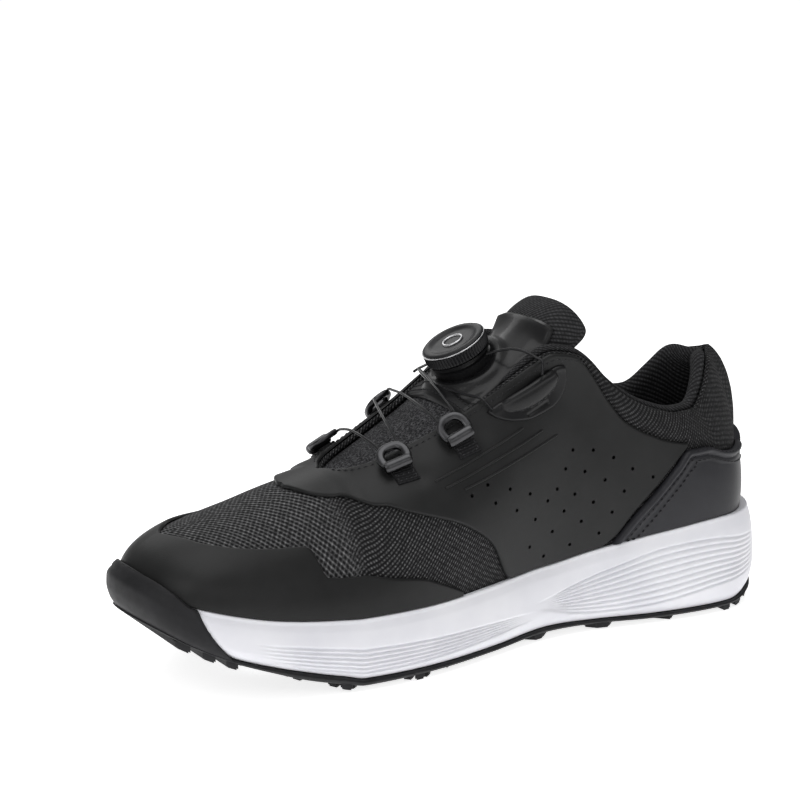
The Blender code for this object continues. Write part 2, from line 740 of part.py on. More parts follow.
def tongue_tip_rows():
    corner = tongue_middle(0.635)
    rows = []
    for back, rise, half, fall, pad in TONGUE_TIP:
        middle = corner + np.array([-TONGUE_BACK * back, 0, TONGUE_RISE * rise])
        width = TONGUE_HALF * half
        high = []
        low = []
        for k in range(2 * (len(FLANK) + len(ACROSS)) + 1):
            v = 1 - k / (len(FLANK) + len(ACROSS))
            y = width * math.sin(v * math.pi / 2)
            drop = width * fall * abs(v) ** 2.5 * 1.5
            point = middle + np.array([-drop * 0.5, y, -drop])
            thin = TONGUE_PAD * pad * (1 - 0.55 * abs(v) ** 3)
            high.append(point)
            low.append(point + np.array([-thin * 0.72, 0, -thin * 0.69]))
        rows.append((high, low))
    return rows


def tongue_rows():
    rows = [tongue_row(way) for way in WAYS if 0.285 <= way <= 0.636]
    return rows + tongue_tip_rows()


def make_tongue():
    loops = [list(high) + list(low)[::-1] for high, low in tongue_rows()]
    return loop_sweep("tongue", loops, LINING)


SADDLE_FROM = 0.54
ROOM_FROM = 0.50


def saddle_layer(start, low, high):
    """Grids of the skin over the middle of the tongue, from a way on, between two distances from it."""
    ways = [way for way in WAYS if 0.285 <= way <= 0.636]
    rows = [row[0] for row in tongue_rows()]
    first = ways.index(start)
    picked = np.array(rows[first:len(ways) + 1])
    edge = len(FLANK)
    picked = picked[:, edge:-edge]
    along = np.gradient(picked, axis=0)
    across = np.gradient(picked, axis=1)
    normal = np.cross(across, along)
    normal /= np.linalg.norm(normal, axis=-1)[..., None]
    normal *= np.sign(normal[..., 2:3])
    return [picked + normal * low], [picked + normal * high]


def make_saddle():
    inner, outer = saddle_layer(SADDLE_FROM, SEAM, SEAM + SADDLE_SKIN)
    return shell_from("dial_saddle", inner, outer, GLOSS)


# Closure


def way_of(along):
    """The rib whose top lies at a place along the throat."""
    rows = [(row[1], row[0]) for row in RIBS if 0.3 <= row[0] <= 0.64]
    rows.sort()
    return float(read(("along", "way"), rows, "way", along))


def dial_frame():
    """Matrix of the dial: its origin on the saddle, Z along its axis."""
    middle = tongue_middle(way_of(DIAL_PLACE))
    axis = Vector((math.sin(DIAL_TILT), 0, math.cos(DIAL_TILT)))
    seat = Vector(middle) + axis * (SEAM + SADDLE_SKIN + DIAL_STAND)
    turn = Vector((0, 0, 1)).rotation_difference(axis).to_matrix().to_4x4()
    return Matrix.Translation(seat) @ turn


def make_dial():
    mesh = bpy.data.meshes.new("dial_base")
    work = bmesh.new()
    foot = BASE_HEIGHT
    middle = Matrix.Translation((0, 0, (BASE_HEIGHT - foot) / 2))
    bmesh.ops.create_cone(work, cap_ends=True, segments=28, radius1=DIAL_RADIUS - BASE_INSET - BASE_TAPER,
                          radius2=DIAL_RADIUS - BASE_INSET, depth=BASE_HEIGHT + foot, matrix=middle)
    work.to_mesh(mesh)
    work.free()
    base = add("dial_base", mesh, PLASTIC)
    base.matrix_world = dial_frame()
    inner, outer = saddle_layer(ROOM_FROM, -3 * BASE_HEIGHT, SEAM + SADDLE_SKIN + GAP)
    boolean(base, shell_from("saddle_room", inner, outer, None, cutter=True), "DIFFERENCE")
    outline = []
    for i in range(2 * DIAL_TEETH):
        radius = DIAL_RADIUS if i % 2 else DIAL_RADIUS * 0.955
        angle = math.pi * i / DIAL_TEETH
        outline.append((radius * math.cos(angle), radius * math.sin(angle)))
    low = BASE_HEIGHT + GAP
    knob = prism("dial_knob", outline, low, low + DIAL_HEIGHT, PLASTIC, cutter=False)
    knob.matrix_world = dial_frame()


GUIDE_CLIMB = 0.945
TOP_GUIDE = (
    (0.540, 0.865, 0.885),
    (0.575, 0.79, 0.92),
    (0.605, 0.77, 0.93),
    (0.635, 0.855, 0.885),
)


def guide_frame(side, along):
    """Matrix of a guide: origin on the tab, X along the throat's edge, Z out of the surface."""
    way = way_of(along)
    lift = SEAM + OVERLAY + SEAM + TAB_THICKNESS + SEAM
    place = skin(side, way, np.float64(GUIDE_CLIMB), np.float64(lift))
    out = place - rib(side, way, np.float64(GUIDE_CLIMB))
    run = rib(side, way - 0.01, np.float64(GUIDE_CLIMB)) - rib(side, way + 0.01, np.float64(GUIDE_CLIMB))
    z = Vector(out).normalized()
    x = Vector(run).normalized()
    y = z.cross(x).normalized()
    x = y.cross(z)
    turn = Matrix((x, y, z)).transposed().to_4x4()
    return Matrix.Translation(Vector(place)) @ turn


def rounded(half_x, half_y, radius, steps=4):
    points = []
    for cx, cy, start in ((1, 1, 0), (-1, 1, 90), (-1, -1, 180), (1, -1, 270)):
        for i in range(steps):
            angle = math.radians(start + 90 * i / (steps - 1))
            x = cx * (half_x - radius) + radius * math.cos(angle)
            y = cy * (half_y - radius) + radius * math.sin(angle)
            points.append((x, y))
    return points


def make_guides():
    for (side, number), along in LOOP_PLACES.items():
        outer = rounded(GUIDE_LENGTH / 2, GUIDE_WIDTH / 2, 0.003)
        hole = rounded(GUIDE_HOLE, GUIDE_HOLE * 0.8, 0.0018, 3)
        guide = prism(f"guide_{side}_{number}", outer, 0, GUIDE_THICKNESS, METAL, hole=hole, cutter=False)
        guide.matrix_world = guide_frame(side, along)
        way = way_of(along)
        half = 0.014
        table = ((way - half, 0.70, 0.90), (way, 0.68, 0.90), (way + half, 0.70, 0.90))
        inner, outer = cover(table, SEAM + OVERLAY + SEAM, TAB_THICKNESS, sides=(side,))
        shell_from(f"tab_{side}_{number}", inner, outer, LINING)
    for side in SIDES:

        def domed(ways, held, start, stop):
            middle = np.minimum(held - start, stop - held) / np.maximum(stop - start, 1e-6)
            return (TOP_GUIDE_HEIGHT - OVERLAY) * np.sqrt(np.clip(middle * 2, 0, 1))

        inner, outer = cover(TOP_GUIDE, SEAM + OVERLAY + SEAM, OVERLAY, domed, sides=(side,))
        shell_from(f"top_guide_{side}", inner, outer, GLOSS)


def wire(name, points):
    curve = bpy.data.curves.new(name, "CURVE")
    curve.dimensions = "3D"
    curve.bevel_depth = WIRE_RADIUS
    curve.bevel_resolution = 1
    curve.use_fill_caps = True
    line = curve.splines.new("POLY")
    line.points.add(len(points) - 1)
    for point, place in zip(line.points, points):
        point.co = (*place, 1)
    made = bpy.data.objects.new(name, curve)
    shoe_collection.objects.link(made)
    curve.materials.append(PLASTIC)
    return made


def guide_mouth(side, number):
    """The point where the wire turns in front of a guide, on the throat's side of it."""
    frame = guide_frame(side, LOOP_PLACES[side, number])
    sign = 1 if side == "lateral" else -1
    centre = frame @ Vector((0, 0, GUIDE_THICKNESS / 2))
    across = frame.to_3x3() @ Vector((0, 1, 0))
    if across.y * sign < 0:
        across = -across
    return centre + across * (GUIDE_WIDTH / 2 + WIRE_RADIUS + GAP)


def over_edge(side, along):
    """A point above the throat's edge, where a wire leaves the leather."""
    return Vector(skin(side, way_of(along), np.float64(1.0), np.float64(HOOK_LIFT)))


def arched(start, end, share, bow):
    """A point of a bar that bows over the tongue's crown."""
    return start.lerp(end, share) + Vector(bow) * math.sin(math.pi * share)


def bars(stops, bows):
    """The points of a wire through its turning points."""
    points = []
    for start, end, bow in zip(stops, stops[1:], bows):
        points += [arched(start, end, share, bow) for share in np.linspace(0, 1, BAR_STEPS)[:-1]]
    return points + [stops[-1]]


def make_lace():
    hook = over_edge("lateral", HOOK_PLACE)
    low_end = over_edge("medial", TOP_GUIDE_LOW)
    high_end = over_edge("medial", TOP_GUIDE_HIGH)
    stops = [guide_mouth("lateral", 1), guide_mouth("medial", 1), guide_mouth("lateral", 2), guide_mouth("medial", 2)]
    wire("lace_zigzag", bars([*stops, hook, low_end], [BAR_BOW] * 4 + [HOOK_BOW]))
    frame = dial_frame()
    exits = [frame @ Vector((x * EXIT_REACH, y * EXIT_REACH, EXIT_HEIGHT)) for x, y in EXIT_WAYS]
    wire("lace_dial_medial", bars([exits[0], high_end], [DIAL_BOW]))
    short = hook + (exits[1] - hook).normalized() * WIRE_END
    wire("lace_dial_lateral", bars([exits[1], short], [(0, 0, 0)]))


# Sole


def rim_inset(side, ways, along):
    return rib_inset(ways) - GAP


def groove_levels():
    """Shares of the side's height with how deep each one is cut, as functions of the place along the sole."""
    out = []
    count = 2 * GROOVES + 1
    for i in range(count):
        share = i / (count - 1)
        cut = i % 2 == 1
        out.append((share, cut))
    return out


FAN_COLUMNS = ("along", "middle", "spread", "depth")
FAN = (
    (0.00, 0.46, 0.62, 0.0),
    (0.06, 0.46, 0.66, 0.6),
    (0.20, 0.44, 0.66, 1.0),
    (0.32, 0.40, 0.50, 1.0),
    (0.42, 0.40, 0.30, 0.1),
    (0.47, 0.38, 0.30, 0.1),
    (0.56, 0.34, 0.44, 1.0),
    (0.72, 0.34, 0.48, 1.0),
    (0.86, 0.34, 0.48, 0.0),
    (1.00, 0.34, 0.48, 0.0),
)


def midsole_inset(share):
    """How far the midsole's side lies inside the outline at a share of its height."""
    rows = ((0.0, 0.0026), (0.10, 0.0010), (0.30, 0.0), (0.60, 0.0004), (0.85, 0.0014), (1.0, 0.0028))
    return read(("share", "inset"), rows, "inset", share)


def midsole_side(share, cut, fan):
    def point_height(along):
        bottom = level("plate", along) + GAP
        top = level("rim", along) - RIM_TOP
        place = share
        if fan:
            middle = read(FAN_COLUMNS, FAN, "middle", along)
            spread = read(FAN_COLUMNS, FAN, "spread", along)
            place = middle + (share - 0.5) * spread
        return bottom + place * (top - bottom), place

    def inset(side, ways, along):
        place = point_height(along)[1]
        depth = GROOVE_DEPTH * read(FAN_COLUMNS, FAN, "depth", along) if cut else 0
        return midsole_inset(np.clip(place, 0, 1)) + depth

    return sole_ring(inset, lambda along: point_height(along)[0])


def make_midsole():
    loops = [midsole_side(0.0, False, False)]
    loops += [midsole_side(share, cut, True) for share, cut in groove_levels()]
    loops += [midsole_side(0.88, False, False), midsole_side(1.0, False, False)]

    def rim(along):
        return level("rim", along)

    loops.append(sole_ring(midsole_inset(1.0) + RIM_TOP * 0.6, rim))
    loops.append(sole_ring(rim_inset, rim))
    loops.append(sole_ring(lambda side, ways, along: rim_inset(side, ways, along) + CUP_DRAFT, lambda a: level("bed", a)))
    midsole = ring_solid("midsole", loops, FOAM)
    boolean(midsole, make_bumper("bumper_clearance", GAP), "DIFFERENCE")
    boolean(midsole, well_block("midsole_well", WELL_DEPTH + GAP, GAP), "DIFFERENCE")
    return midsole


# The bumper wraps the toe: share of its height, and how far it stands out from the outline
BUMPER_BULGE = ((0.0, -0.0024), (0.25, 0.0006), (0.55, 0.0030), (0.80, 0.0034), (0.94, 0.0026), (1.0, 0.0010))
BUMPER_FOOT = 0.172
BUMPER_TOP = 0.122


def make_bumper(name, grow):
    """The toe bumper as a wall between two surfaces. Grown by a gap, it is the cutter that clears the midsole."""
    columns = 13
    inner = []
    outer = []
    for side in SIDES:
        rows_in = []
        rows_out = []
        for share, bulge in BUMPER_BULGE:
            last = BUMPER_FOOT + (BUMPER_TOP - BUMPER_FOOT) * share**0.6 + grow / 0.35
            ways = np.linspace(0, last, columns)
            along = sole_edge(side, ways, 0)[2]
            low = ground(along) + LUG_HEIGHT + GAP
            top = bumper_top(along)
            high = low + (top - low) * share
            if share == 1:
                high = high + grow
            fade = np.cos(np.clip(ways / last, 0, 1) * math.pi / 2) ** 0.8
            flush = -read(("share", "inset"), ((0, 0.0026), (0.1, 0.001), (0.3, 0.0), (1, 0.0014)), "inset", share)
            out_by = flush + (bulge - flush) * fade + grow
            x, y, _, _, _ = sole_edge(side, ways, -out_by)
            rows_out.append(np.column_stack([x, y, high]))
            depth = np.minimum(BUMPER_WALL, rib_inset(ways) - OVERLAY - 2 * GAP) + grow
            x, y, _, _, _ = sole_edge(side, ways, depth + 0 * ways)
            rows_in.append(np.column_stack([x, y, high]))
        outer.append(np.array(rows_out))
        inner.append(np.array(rows_in))
    return shell_from(name, inner, outer, None, cutter=True)


def well_centre():
    return (WELL_PLACE - 0.5) * SOLE_LENGTH, WELL_SHIFT


def octagon(grow):
    """Corners of the cleat well, grown by an amount, in order."""
    cx, cy = well_centre()
    hx = WELL_LENGTH / 2 + grow
    hy = WELL_WIDTH / 2 + grow
    cut = WELL_CORNER + grow * 0.586
    corners = ((hx - cut * 1.5, hy), (hx, hy - cut), (hx, cut - hy), (hx - cut * 1.5, -hy))
    corners += ((cut * 1.5 - hx, -hy), (-hx, cut - hy), (-hx, hy - cut), (cut * 1.5 - hx, hy))
    return [(cx + x, cy + y) for x, y in corners]


def prism(name, outline, low, high, finish=None, hole=None, cutter=True, lift=None):
    """An upright body from an outline, with an optional hole, raised by functions of x, one for each end."""
    curve = bpy.data.curves.new(name, "CURVE")
    curve.dimensions = "2D"
    curve.fill_mode = "BOTH"
    curve.extrude = (high - low) / 2
    for points in (outline, hole) if hole else (outline,):
        line = curve.splines.new("POLY")
        line.points.add(len(points) - 1)
        for point, (x, y) in zip(line.points, points):
            point.co = (x, y, 0, 1)
        line.use_cyclic_u = True
    holder = bpy.data.objects.new(name + "_curve", curve)
    shoe_collection.objects.link(holder)
    bpy.context.view_layer.update()
    graph = bpy.context.evaluated_depsgraph_get()
    mesh = bpy.data.meshes.new_from_object(holder.evaluated_get(graph))
    bpy.data.objects.remove(holder, do_unlink=True)
    work = bmesh.new()
    work.from_mesh(mesh)
    bmesh.ops.remove_doubles(work, verts=work.verts, dist=1e-6)
    bmesh.ops.recalc_face_normals(work, faces=work.faces)
    work.to_mesh(mesh)
    work.free()
    mesh.transform(Matrix.Translation((0, 0, (low + high) / 2)))
    if lift:
        for vert in mesh.vertices:
            vert.co.z += lift[vert.co.z > (low + high) / 2](vert.co.x)
    return add(name, mesh, finish, cutter)


def rim_lift(x):
    """The cleat rim's lower edge follows the ground from corner to corner."""
    stations = sorted({place for place, _ in octagon(0)})
    return float(np.interp(x, stations, ground(np.array(stations) / SOLE_LENGTH + 0.5)))


def well_lift(x):
    """The well's floor and what lies in it rise evenly to the front."""
    return WELL_RISE * ((x - well_centre()[0]) / WELL_LENGTH + 0.5)


def well_block(name, top, grow):
    return prism(name, octagon(grow), -WELL_DEPTH, top, lift=(well_lift, well_lift))


def slot_outline(cx, cy):
    """A slot with round ends, along X."""
    points = []
    half = (SLOT_LENGTH - SLOT_WIDTH) / 2
    for end, start in ((1, -90), (-1, 90)):
        for i in range(7):
            angle = math.radians(start + 30 * i)
            points.append((cx + end * half + SLOT_WIDTH / 2 * math.cos(angle), cy + SLOT_WIDTH / 2 * math.sin(angle)))
    return points


def make_cleat_well():
    cx, cy = well_centre()
    hole = octagon(-RIM_WIDTH)
    prism("cleat_rim", octagon(0), RIM_CLEAR, WELL_DEPTH, FOAM, hole=hole, cutter=False, lift=(rim_lift, well_lift))
    inside = octagon(-RIM_WIDTH - GAP)
    high = PLATE_DEPTH + PLATE_THICKNESS
    plate = prism("cleat_plate", inside, PLATE_DEPTH, high, PLASTIC, cutter=False, lift=(well_lift, well_lift))
    for i, offset in enumerate((-SLOT_PITCH / 2, SLOT_PITCH / 2)):
        name = f"slot_cutter_{i + 1}"
        boolean(plate, prism(name, slot_outline(cx, cy + offset), 0, 2 * high), "DIFFERENCE")
    low = high + GAP
    for i, offset in enumerate((-SLOT_PITCH / 2, SLOT_PITCH / 2)):
        half_x = SLOT_LENGTH / 2 + 0.002
        half_y = SLOT_WIDTH / 2 + 0.002
        bar = [(cx + x * half_x, cy + offset + y * half_y) for x, y in ((1, -1), (-1, -1), (-1, 1), (1, 1))]
        solid = prism(f"cleat_nut_{i + 1}", bar, low, WELL_DEPTH - GAP, METAL, cutter=False, lift=(well_lift, well_lift))
        for j, shift in enumerate((-INSERT_PITCH / 2, INSERT_PITCH / 2)):
            hole = bpy.data.meshes.new("insert_hole")
            work = bmesh.new()
            bmesh.ops.create_cone(work, cap_ends=True, segments=16, radius1=INSERT_RADIUS, radius2=INSERT_RADIUS,
                                  depth=0.03, matrix=Matrix.Translation((cx + shift, cy + offset, 0)))
            work.to_mesh(hole)
            work.free()
            cutter = add(f"insert_cutter_{i + 1}_{j + 1}", hole, None, cutter=True)
            boolean(solid, cutter, "DIFFERENCE")


def lug_boxes():
    """Centre, half sizes and turn of every lug and cross bar of the tread, before the edge trims them."""
    boxes = []
    half = LUG_SIDE / 2
    rows = int(SOLE_LENGTH / LUG_ROW)
    first = -(rows - 1) / 2 * LUG_ROW
    bar_zone = BARS * BAR_PITCH + 0.008
    for row in range(rows):
        x = first + row * LUG_ROW
        if abs(x) > SOLE_LENGTH / 2 - bar_zone - half:
            continue
        shift = LUG_COLUMN / 2 if row % 2 else 0
        for column in range(-4, 5):
            y = column * LUG_COLUMN + shift
            boxes.append((x, y, half, half, math.radians(45)))
    for end in (-1, 1):
        for bar in range(BARS):
            x = end * (SOLE_LENGTH / 2 - BAR_FROM - bar * BAR_PITCH)
            boxes.append((x, 0, BAR_WIDTH / 2, BALL_WIDTH, 0))
    return boxes


def inside_sole(x, y, margin):
    for side, sign in (("medial", 1), ("lateral", -1)):
        ways = np.linspace(0, 1, 200)
        ex, ey, _, _, _ = sole_edge(side, ways, margin)
        order = np.argsort(ex)
        if not ex.min() < x < ex.max():
            return False
        if sign * y > sign * np.interp(x, ex[order], ey[order]):
            return False
    return True


def make_lugs():
    mesh = bpy.data.meshes.new("lugs")
    work = bmesh.new()
    for x, y, half_x, half_y, turn in lug_boxes():
        if half_x == half_y:
            reach = half_x * math.sqrt(2)
            near = [inside_sole(x + dx, y + dy, 0.004) for dx, dy in ((0, 0), (reach / 2, 0), (-reach / 2, 0))]
            if not all(near):
                continue
        move = Matrix.Translation((x, y, 0)) @ Matrix.Rotation(turn, 4, "Z")
        made = bmesh.ops.create_cube(work, size=2, matrix=move @ Matrix.Diagonal((half_x, half_y, 1, 1)))
        for vert in made["verts"]:
            along = np.clip(vert.co.x / SOLE_LENGTH + 0.5, 0, 1)
            lift = LUG_HEIGHT + LUG_ROOT if vert.co.z > 0 else 0
            vert.co.z = float(ground(along)) + lift
    work.to_mesh(mesh)
    work.free()
    lugs = add("lug_blocks", mesh, None, cutter=True)
    edge = ring_solid("tread_edge", [sole_ring(0.0024, -0.02), sole_ring(0.0024, 0.06)], None, cutter=True)
    boolean(lugs, edge, "INTERSECT")
    boolean(lugs, well_block("well_margin", 0.02, LUG_EDGE), "DIFFERENCE")
    return lugs


def make_outsole():
    def under(along):
        return ground(along) + LUG_HEIGHT

    def top(along):
        return level("plate", along)

    def middle(along):
        return (under(along) * 0.4 + top(along) * 0.6)

    loops = [sole_ring(0.0022, under), sole_ring(0.0010, middle), sole_ring(0.0022, top)]
    plate = ring_solid("outsole", loops, RUBBER)
    boolean(plate, make_bumper("bumper", 0), "UNION")
    boolean(plate, make_lugs(), "UNION")
    boolean(plate, well_block("outsole_well", 0.03, GAP), "DIFFERENCE")
    return plate


def make_insole():
    def inset(side, ways, along):
        return rib_inset(ways) + CUP_DRAFT + UPPER_WALL + GAP

    loops = [
        sole_ring(inset, lambda along: level("bed", along) + GAP),
        sole_ring(inset, lambda along: level("bed", along) + GAP + INSOLE_THICKNESS),
    ]
    return ring_solid("insole", loops, LINING)


def centre_on_floor():
    """Moves every object so that the shoe's box is centred over the origin and stands on the floor."""
    bpy.context.view_layer.update()
    graph = bpy.context.evaluated_depsgraph_get()
    corners = []
    for piece in shoe_collection.objects:
        evaluated = piece.evaluated_get(graph)
        corners += [evaluated.matrix_world @ vert.co for vert in evaluated.to_mesh().vertices]
        evaluated.to_mesh_clear()
    low = np.min(corners, axis=0)
    high = np.max(corners, axis=0)
    shift = Matrix.Translation((-(low[0] + high[0]) / 2, -(low[1] + high[1]) / 2, -low[2]))
    for piece in bpy.data.objects:
        piece.matrix_world = shift @ piece.matrix_world


make_outsole()
make_midsole()
make_cleat_well()
make_insole()
make_upper()
make_overlays()
make_collar()
make_tongue()
make_saddle()
make_dial()
make_guides()
make_lace()
centre_on_floor()
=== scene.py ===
"""The looks of a low cycling shoe for the right foot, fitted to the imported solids. X runs to the toe,
Y to the inner (medial) side, Z up. Lengths are metres."""

import json
import math

import bmesh
import bpy
import numpy as np
from mathutils import Matrix, Vector

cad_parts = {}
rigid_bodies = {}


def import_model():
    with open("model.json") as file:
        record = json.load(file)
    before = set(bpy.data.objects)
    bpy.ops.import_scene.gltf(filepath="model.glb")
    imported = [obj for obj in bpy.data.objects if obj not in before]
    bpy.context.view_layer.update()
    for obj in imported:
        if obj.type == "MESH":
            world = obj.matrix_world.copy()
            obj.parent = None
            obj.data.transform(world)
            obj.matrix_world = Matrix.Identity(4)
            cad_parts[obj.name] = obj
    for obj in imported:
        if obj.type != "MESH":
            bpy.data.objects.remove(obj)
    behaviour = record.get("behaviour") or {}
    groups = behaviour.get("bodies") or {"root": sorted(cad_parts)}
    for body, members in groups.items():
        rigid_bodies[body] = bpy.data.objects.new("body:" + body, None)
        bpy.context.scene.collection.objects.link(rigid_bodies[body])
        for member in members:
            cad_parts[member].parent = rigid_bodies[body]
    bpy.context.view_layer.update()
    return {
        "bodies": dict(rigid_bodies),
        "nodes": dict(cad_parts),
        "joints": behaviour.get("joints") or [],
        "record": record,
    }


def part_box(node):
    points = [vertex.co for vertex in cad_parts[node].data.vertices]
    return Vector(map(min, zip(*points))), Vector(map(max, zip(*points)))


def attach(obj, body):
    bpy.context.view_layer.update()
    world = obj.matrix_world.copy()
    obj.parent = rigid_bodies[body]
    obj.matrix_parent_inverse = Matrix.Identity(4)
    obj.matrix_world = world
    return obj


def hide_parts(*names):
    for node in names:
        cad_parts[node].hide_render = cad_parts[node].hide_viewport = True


# Driving sizes
SOLE_LENGTH = 0.292
BALL_WIDTH = 0.106
SIDE_HEIGHT = 0.041
TOE_SPRING = 0.030
UPPER_RISE = 0.077
TOE_SWING = 0.006
BUMPER_RISE = 0.0083
OUTSOLE_THICKNESS = 0.0041

# Layers
GAP = 0.0003
SEAM = 0.0006
CUP_DRAFT = 0.0010
UPPER_WALL = 0.0020
OVERLAY = 0.0012
COLLAR_PAD = 0.0055
TONGUE_PAD = 0.0042
SADDLE_SKIN = 0.0016
RIM_TOP = 0.0014
BUMPER_WALL = 0.0032

# Tread
LUG_SIDE = 0.0100
LUG_HEIGHT = 0.0020
LUG_ROOT = 0.0012
LUG_ROW = 0.0160
LUG_COLUMN = 0.0185
LUG_EDGE = 0.0012
BAR_WIDTH = 0.0042
BAR_PITCH = 0.0078
BAR_FROM = 0.0135
BARS = 3

# Cleat well
WELL_LENGTH = 0.085
WELL_WIDTH = 0.051
WELL_CORNER = 0.0140
WELL_PLACE = 0.667
WELL_SHIFT = -0.004
WELL_RISE = 0.0038
SLOT_PITCH = 0.0156
INSERT_PITCH = 0.0128
INSERT_RADIUS = 0.0026
PLATE_THICKNESS = 0.0026
PLATE_DEPTH = 0.0045

# Closure
DIAL_RADIUS = 0.0135
DIAL_HEIGHT = 0.0062
DIAL_STAND = 0.0006
BASE_HEIGHT = 0.0052
DIAL_TILT = math.radians(27)
DIAL_PLACE = 0.466
GUIDE_LENGTH = 0.0130
GUIDE_WIDTH = 0.0110
GUIDE_THICKNESS = 0.0020
TAB_THICKNESS = 0.0010
WIRE_RADIUS = 0.0007
LOOP_PLACES = {("medial", 1): 0.623, ("medial", 2): 0.546, ("lateral", 1): 0.645, ("lateral", 2): 0.550}
HOOK_PLACE = 0.484
HOOK_LIFT = 0.0036
TOP_GUIDE_LOW = 0.496
TOP_GUIDE_HIGH = 0.412
BAR_BOW = (0.0018, 0, 0.0030)
HOOK_BOW = (0.0066, 0, 0.0004)
DIAL_BOW = (-0.0008, 0, 0.0034)
EXIT_REACH = DIAL_RADIUS + 0.0010
EXIT_HEIGHT = 0.0030
EXIT_WAYS = ((-0.45, 0.89), (0.45, -0.89))

# The sole's outline: place along, medial and lateral distance as shares of half the ball width
PLAN = (
    (0.000, 0.00, 0.00),
    (0.018, 0.37, 0.38),
    (0.066, 0.634, 0.655),
    (0.140, 0.723, 0.76),
    (0.250, 0.683, 0.77),
    (0.370, 0.626, 0.80),
    (0.480, 0.75, 0.87),
    (0.590, 0.931, 0.95),
    (0.700, 1.00, 1.00),
    (0.790, 0.959, 0.96),
    (0.880, 0.879, 0.80),
    (0.945, 0.716, 0.56),
    (0.985, 0.412, 0.29),
    (1.000, 0.00, 0.00),
)

# Heights along the sole: ground as a share of the toe spring; the others stand on the ground, plate as a
# share of the outsole's thickness, rim and bed as shares of the side height, bumper as a share of the
# bumper's rise over the rim
LEVEL_COLUMNS = ("along", "ground", "plate", "rim", "bed", "bumper")
LEVELS = (
    (0.000, 0.22, 1.00, 0.860, 0.440, 0.00),
    (0.045, 0.08, 1.00, 0.950, 0.530, 0.00),
    (0.095, 0.00, 1.00, 1.000, 0.570, 0.00),
    (0.220, 0.00, 1.00, 0.930, 0.540, 0.00),
    (0.320, 0.03, 0.93, 0.810, 0.480, 0.00),
    (0.400, 0.04, 1.03, 0.720, 0.430, 0.00),
    (0.500, 0.00, 1.00, 0.700, 0.420, 0.00),
    (0.620, 0.00, 1.05, 0.680, 0.380, 0.00),
    (0.720, 0.00, 1.15, 0.685, 0.370, 0.00),
    (0.750, 0.06, 1.20, 0.656, 0.337, 0.00),
    (0.800, 0.18, 1.22, 0.603, 0.298, 0.00),
    (0.850, 0.35, 1.00, 0.534, 0.250, -0.20),
    (0.900, 0.53, 0.90, 0.483, 0.215, -0.15),
    (0.949, 0.74, 0.90, 0.412, 0.180, 0.02),
    (0.965, 0.82, 0.90, 0.375, 0.165, 0.40),
    (0.980, 0.90, 0.90, 0.340, 0.150, 0.72),
    (1.000, 1.00, 0.90, 0.298, 0.135, 1.00),
)

# The upper's ribs, from the toe (way 0) round one side to the heel (way 1). Each rib climbs from the rim to
# the ridge, the throat's edge or the collar's top: along is its top's place on the sole's length, medial
# and lateral are the top's distance from the centre line as a share of half the ball width, rise a share of
# the upper's rise, slope the angle in radians at which it arrives, swell how far its foot leans out, the
# pulls how full it is, and inset how far inside the sole's edge it stands.
RIB_COLUMNS = (
    "way", "along", "medial", "lateral", "rise", "slope", "swell", "foot_pull", "top_pull", "inset",
)
RIBS = (
    (0.000, 0.885, 0.000, 0.000, 0.265, 0.02, 0.00, 0.55, 0.60, 0.120),
    (0.100, 0.855, 0.000, 0.000, 0.283, 0.03, 0.00, 0.55, 0.58, 0.122),
    (0.200, 0.800, 0.000, 0.000, 0.325, 0.05, 0.00, 0.58, 0.55, 0.122),
    (0.260, 0.755, 0.000, 0.000, 0.372, 0.08, 0.00, 0.58, 0.52, 0.122),
    (0.320, 0.700, 0.000, 0.000, 0.425, 0.12, 0.00, 0.55, 0.50, 0.122),
    (0.345, 0.682, 0.150, 0.150, 0.440, 0.22, 0.00, 0.53, 0.48, 0.122),
    (0.370, 0.662, 0.250, 0.250, 0.462, 0.32, 0.00, 0.50, 0.46, 0.122),
    (0.410, 0.625, 0.330, 0.330, 0.515, 0.45, 0.00, 0.48, 0.44, 0.122),
    (0.450, 0.585, 0.385, 0.385, 0.585, 0.55, 0.02, 0.46, 0.42, 0.122),
    (0.500, 0.540, 0.430, 0.430, 0.672, 0.62, 0.04, 0.42, 0.40, 0.122),
    (0.545, 0.495, 0.470, 0.480, 0.772, 0.68, 0.06, 0.40, 0.38, 0.122),
    (0.580, 0.455, 0.500, 0.510, 0.862, 0.75, 0.08, 0.38, 0.36, 0.122),
    (0.610, 0.420, 0.520, 0.540, 0.940, 0.82, 0.09, 0.36, 0.35, 0.122),
    (0.635, 0.392, 0.540, 0.570, 0.985, 0.88, 0.10, 0.36, 0.35, 0.122),
    (0.660, 0.358, 0.560, 0.600, 0.965, 0.95, 0.10, 0.36, 0.35, 0.122),
    (0.685, 0.330, 0.575, 0.625, 0.900, 1.02, 0.09, 0.36, 0.35, 0.122),
    (0.710, 0.303, 0.585, 0.640, 0.800, 1.08, 0.08, 0.36, 0.35, 0.122),
    (0.740, 0.266, 0.590, 0.650, 0.700, 1.14, 0.07, 0.36, 0.35, 0.124),
    (0.780, 0.220, 0.580, 0.640, 0.625, 1.18, 0.06, 0.36, 0.35, 0.128),
    (0.820, 0.180, 0.550, 0.600, 0.590, 1.20, 0.04, 0.36, 0.35, 0.136),
    (0.860, 0.146, 0.490, 0.530, 0.590, 1.20, 0.04, 0.36, 0.38, 0.150),
    (0.900, 0.116, 0.400, 0.430, 0.690, 1.20, 0.05, 0.36, 0.42, 0.185),
    (0.945, 0.090, 0.260, 0.280, 0.810, 1.20, 0.06, 0.36, 0.45, 0.215),
    (1.000, 0.062, 0.000, 0.000, 0.860, 1.20, 0.07, 0.36, 0.45, 0.235),
)

SIDES = ("medial", "lateral")

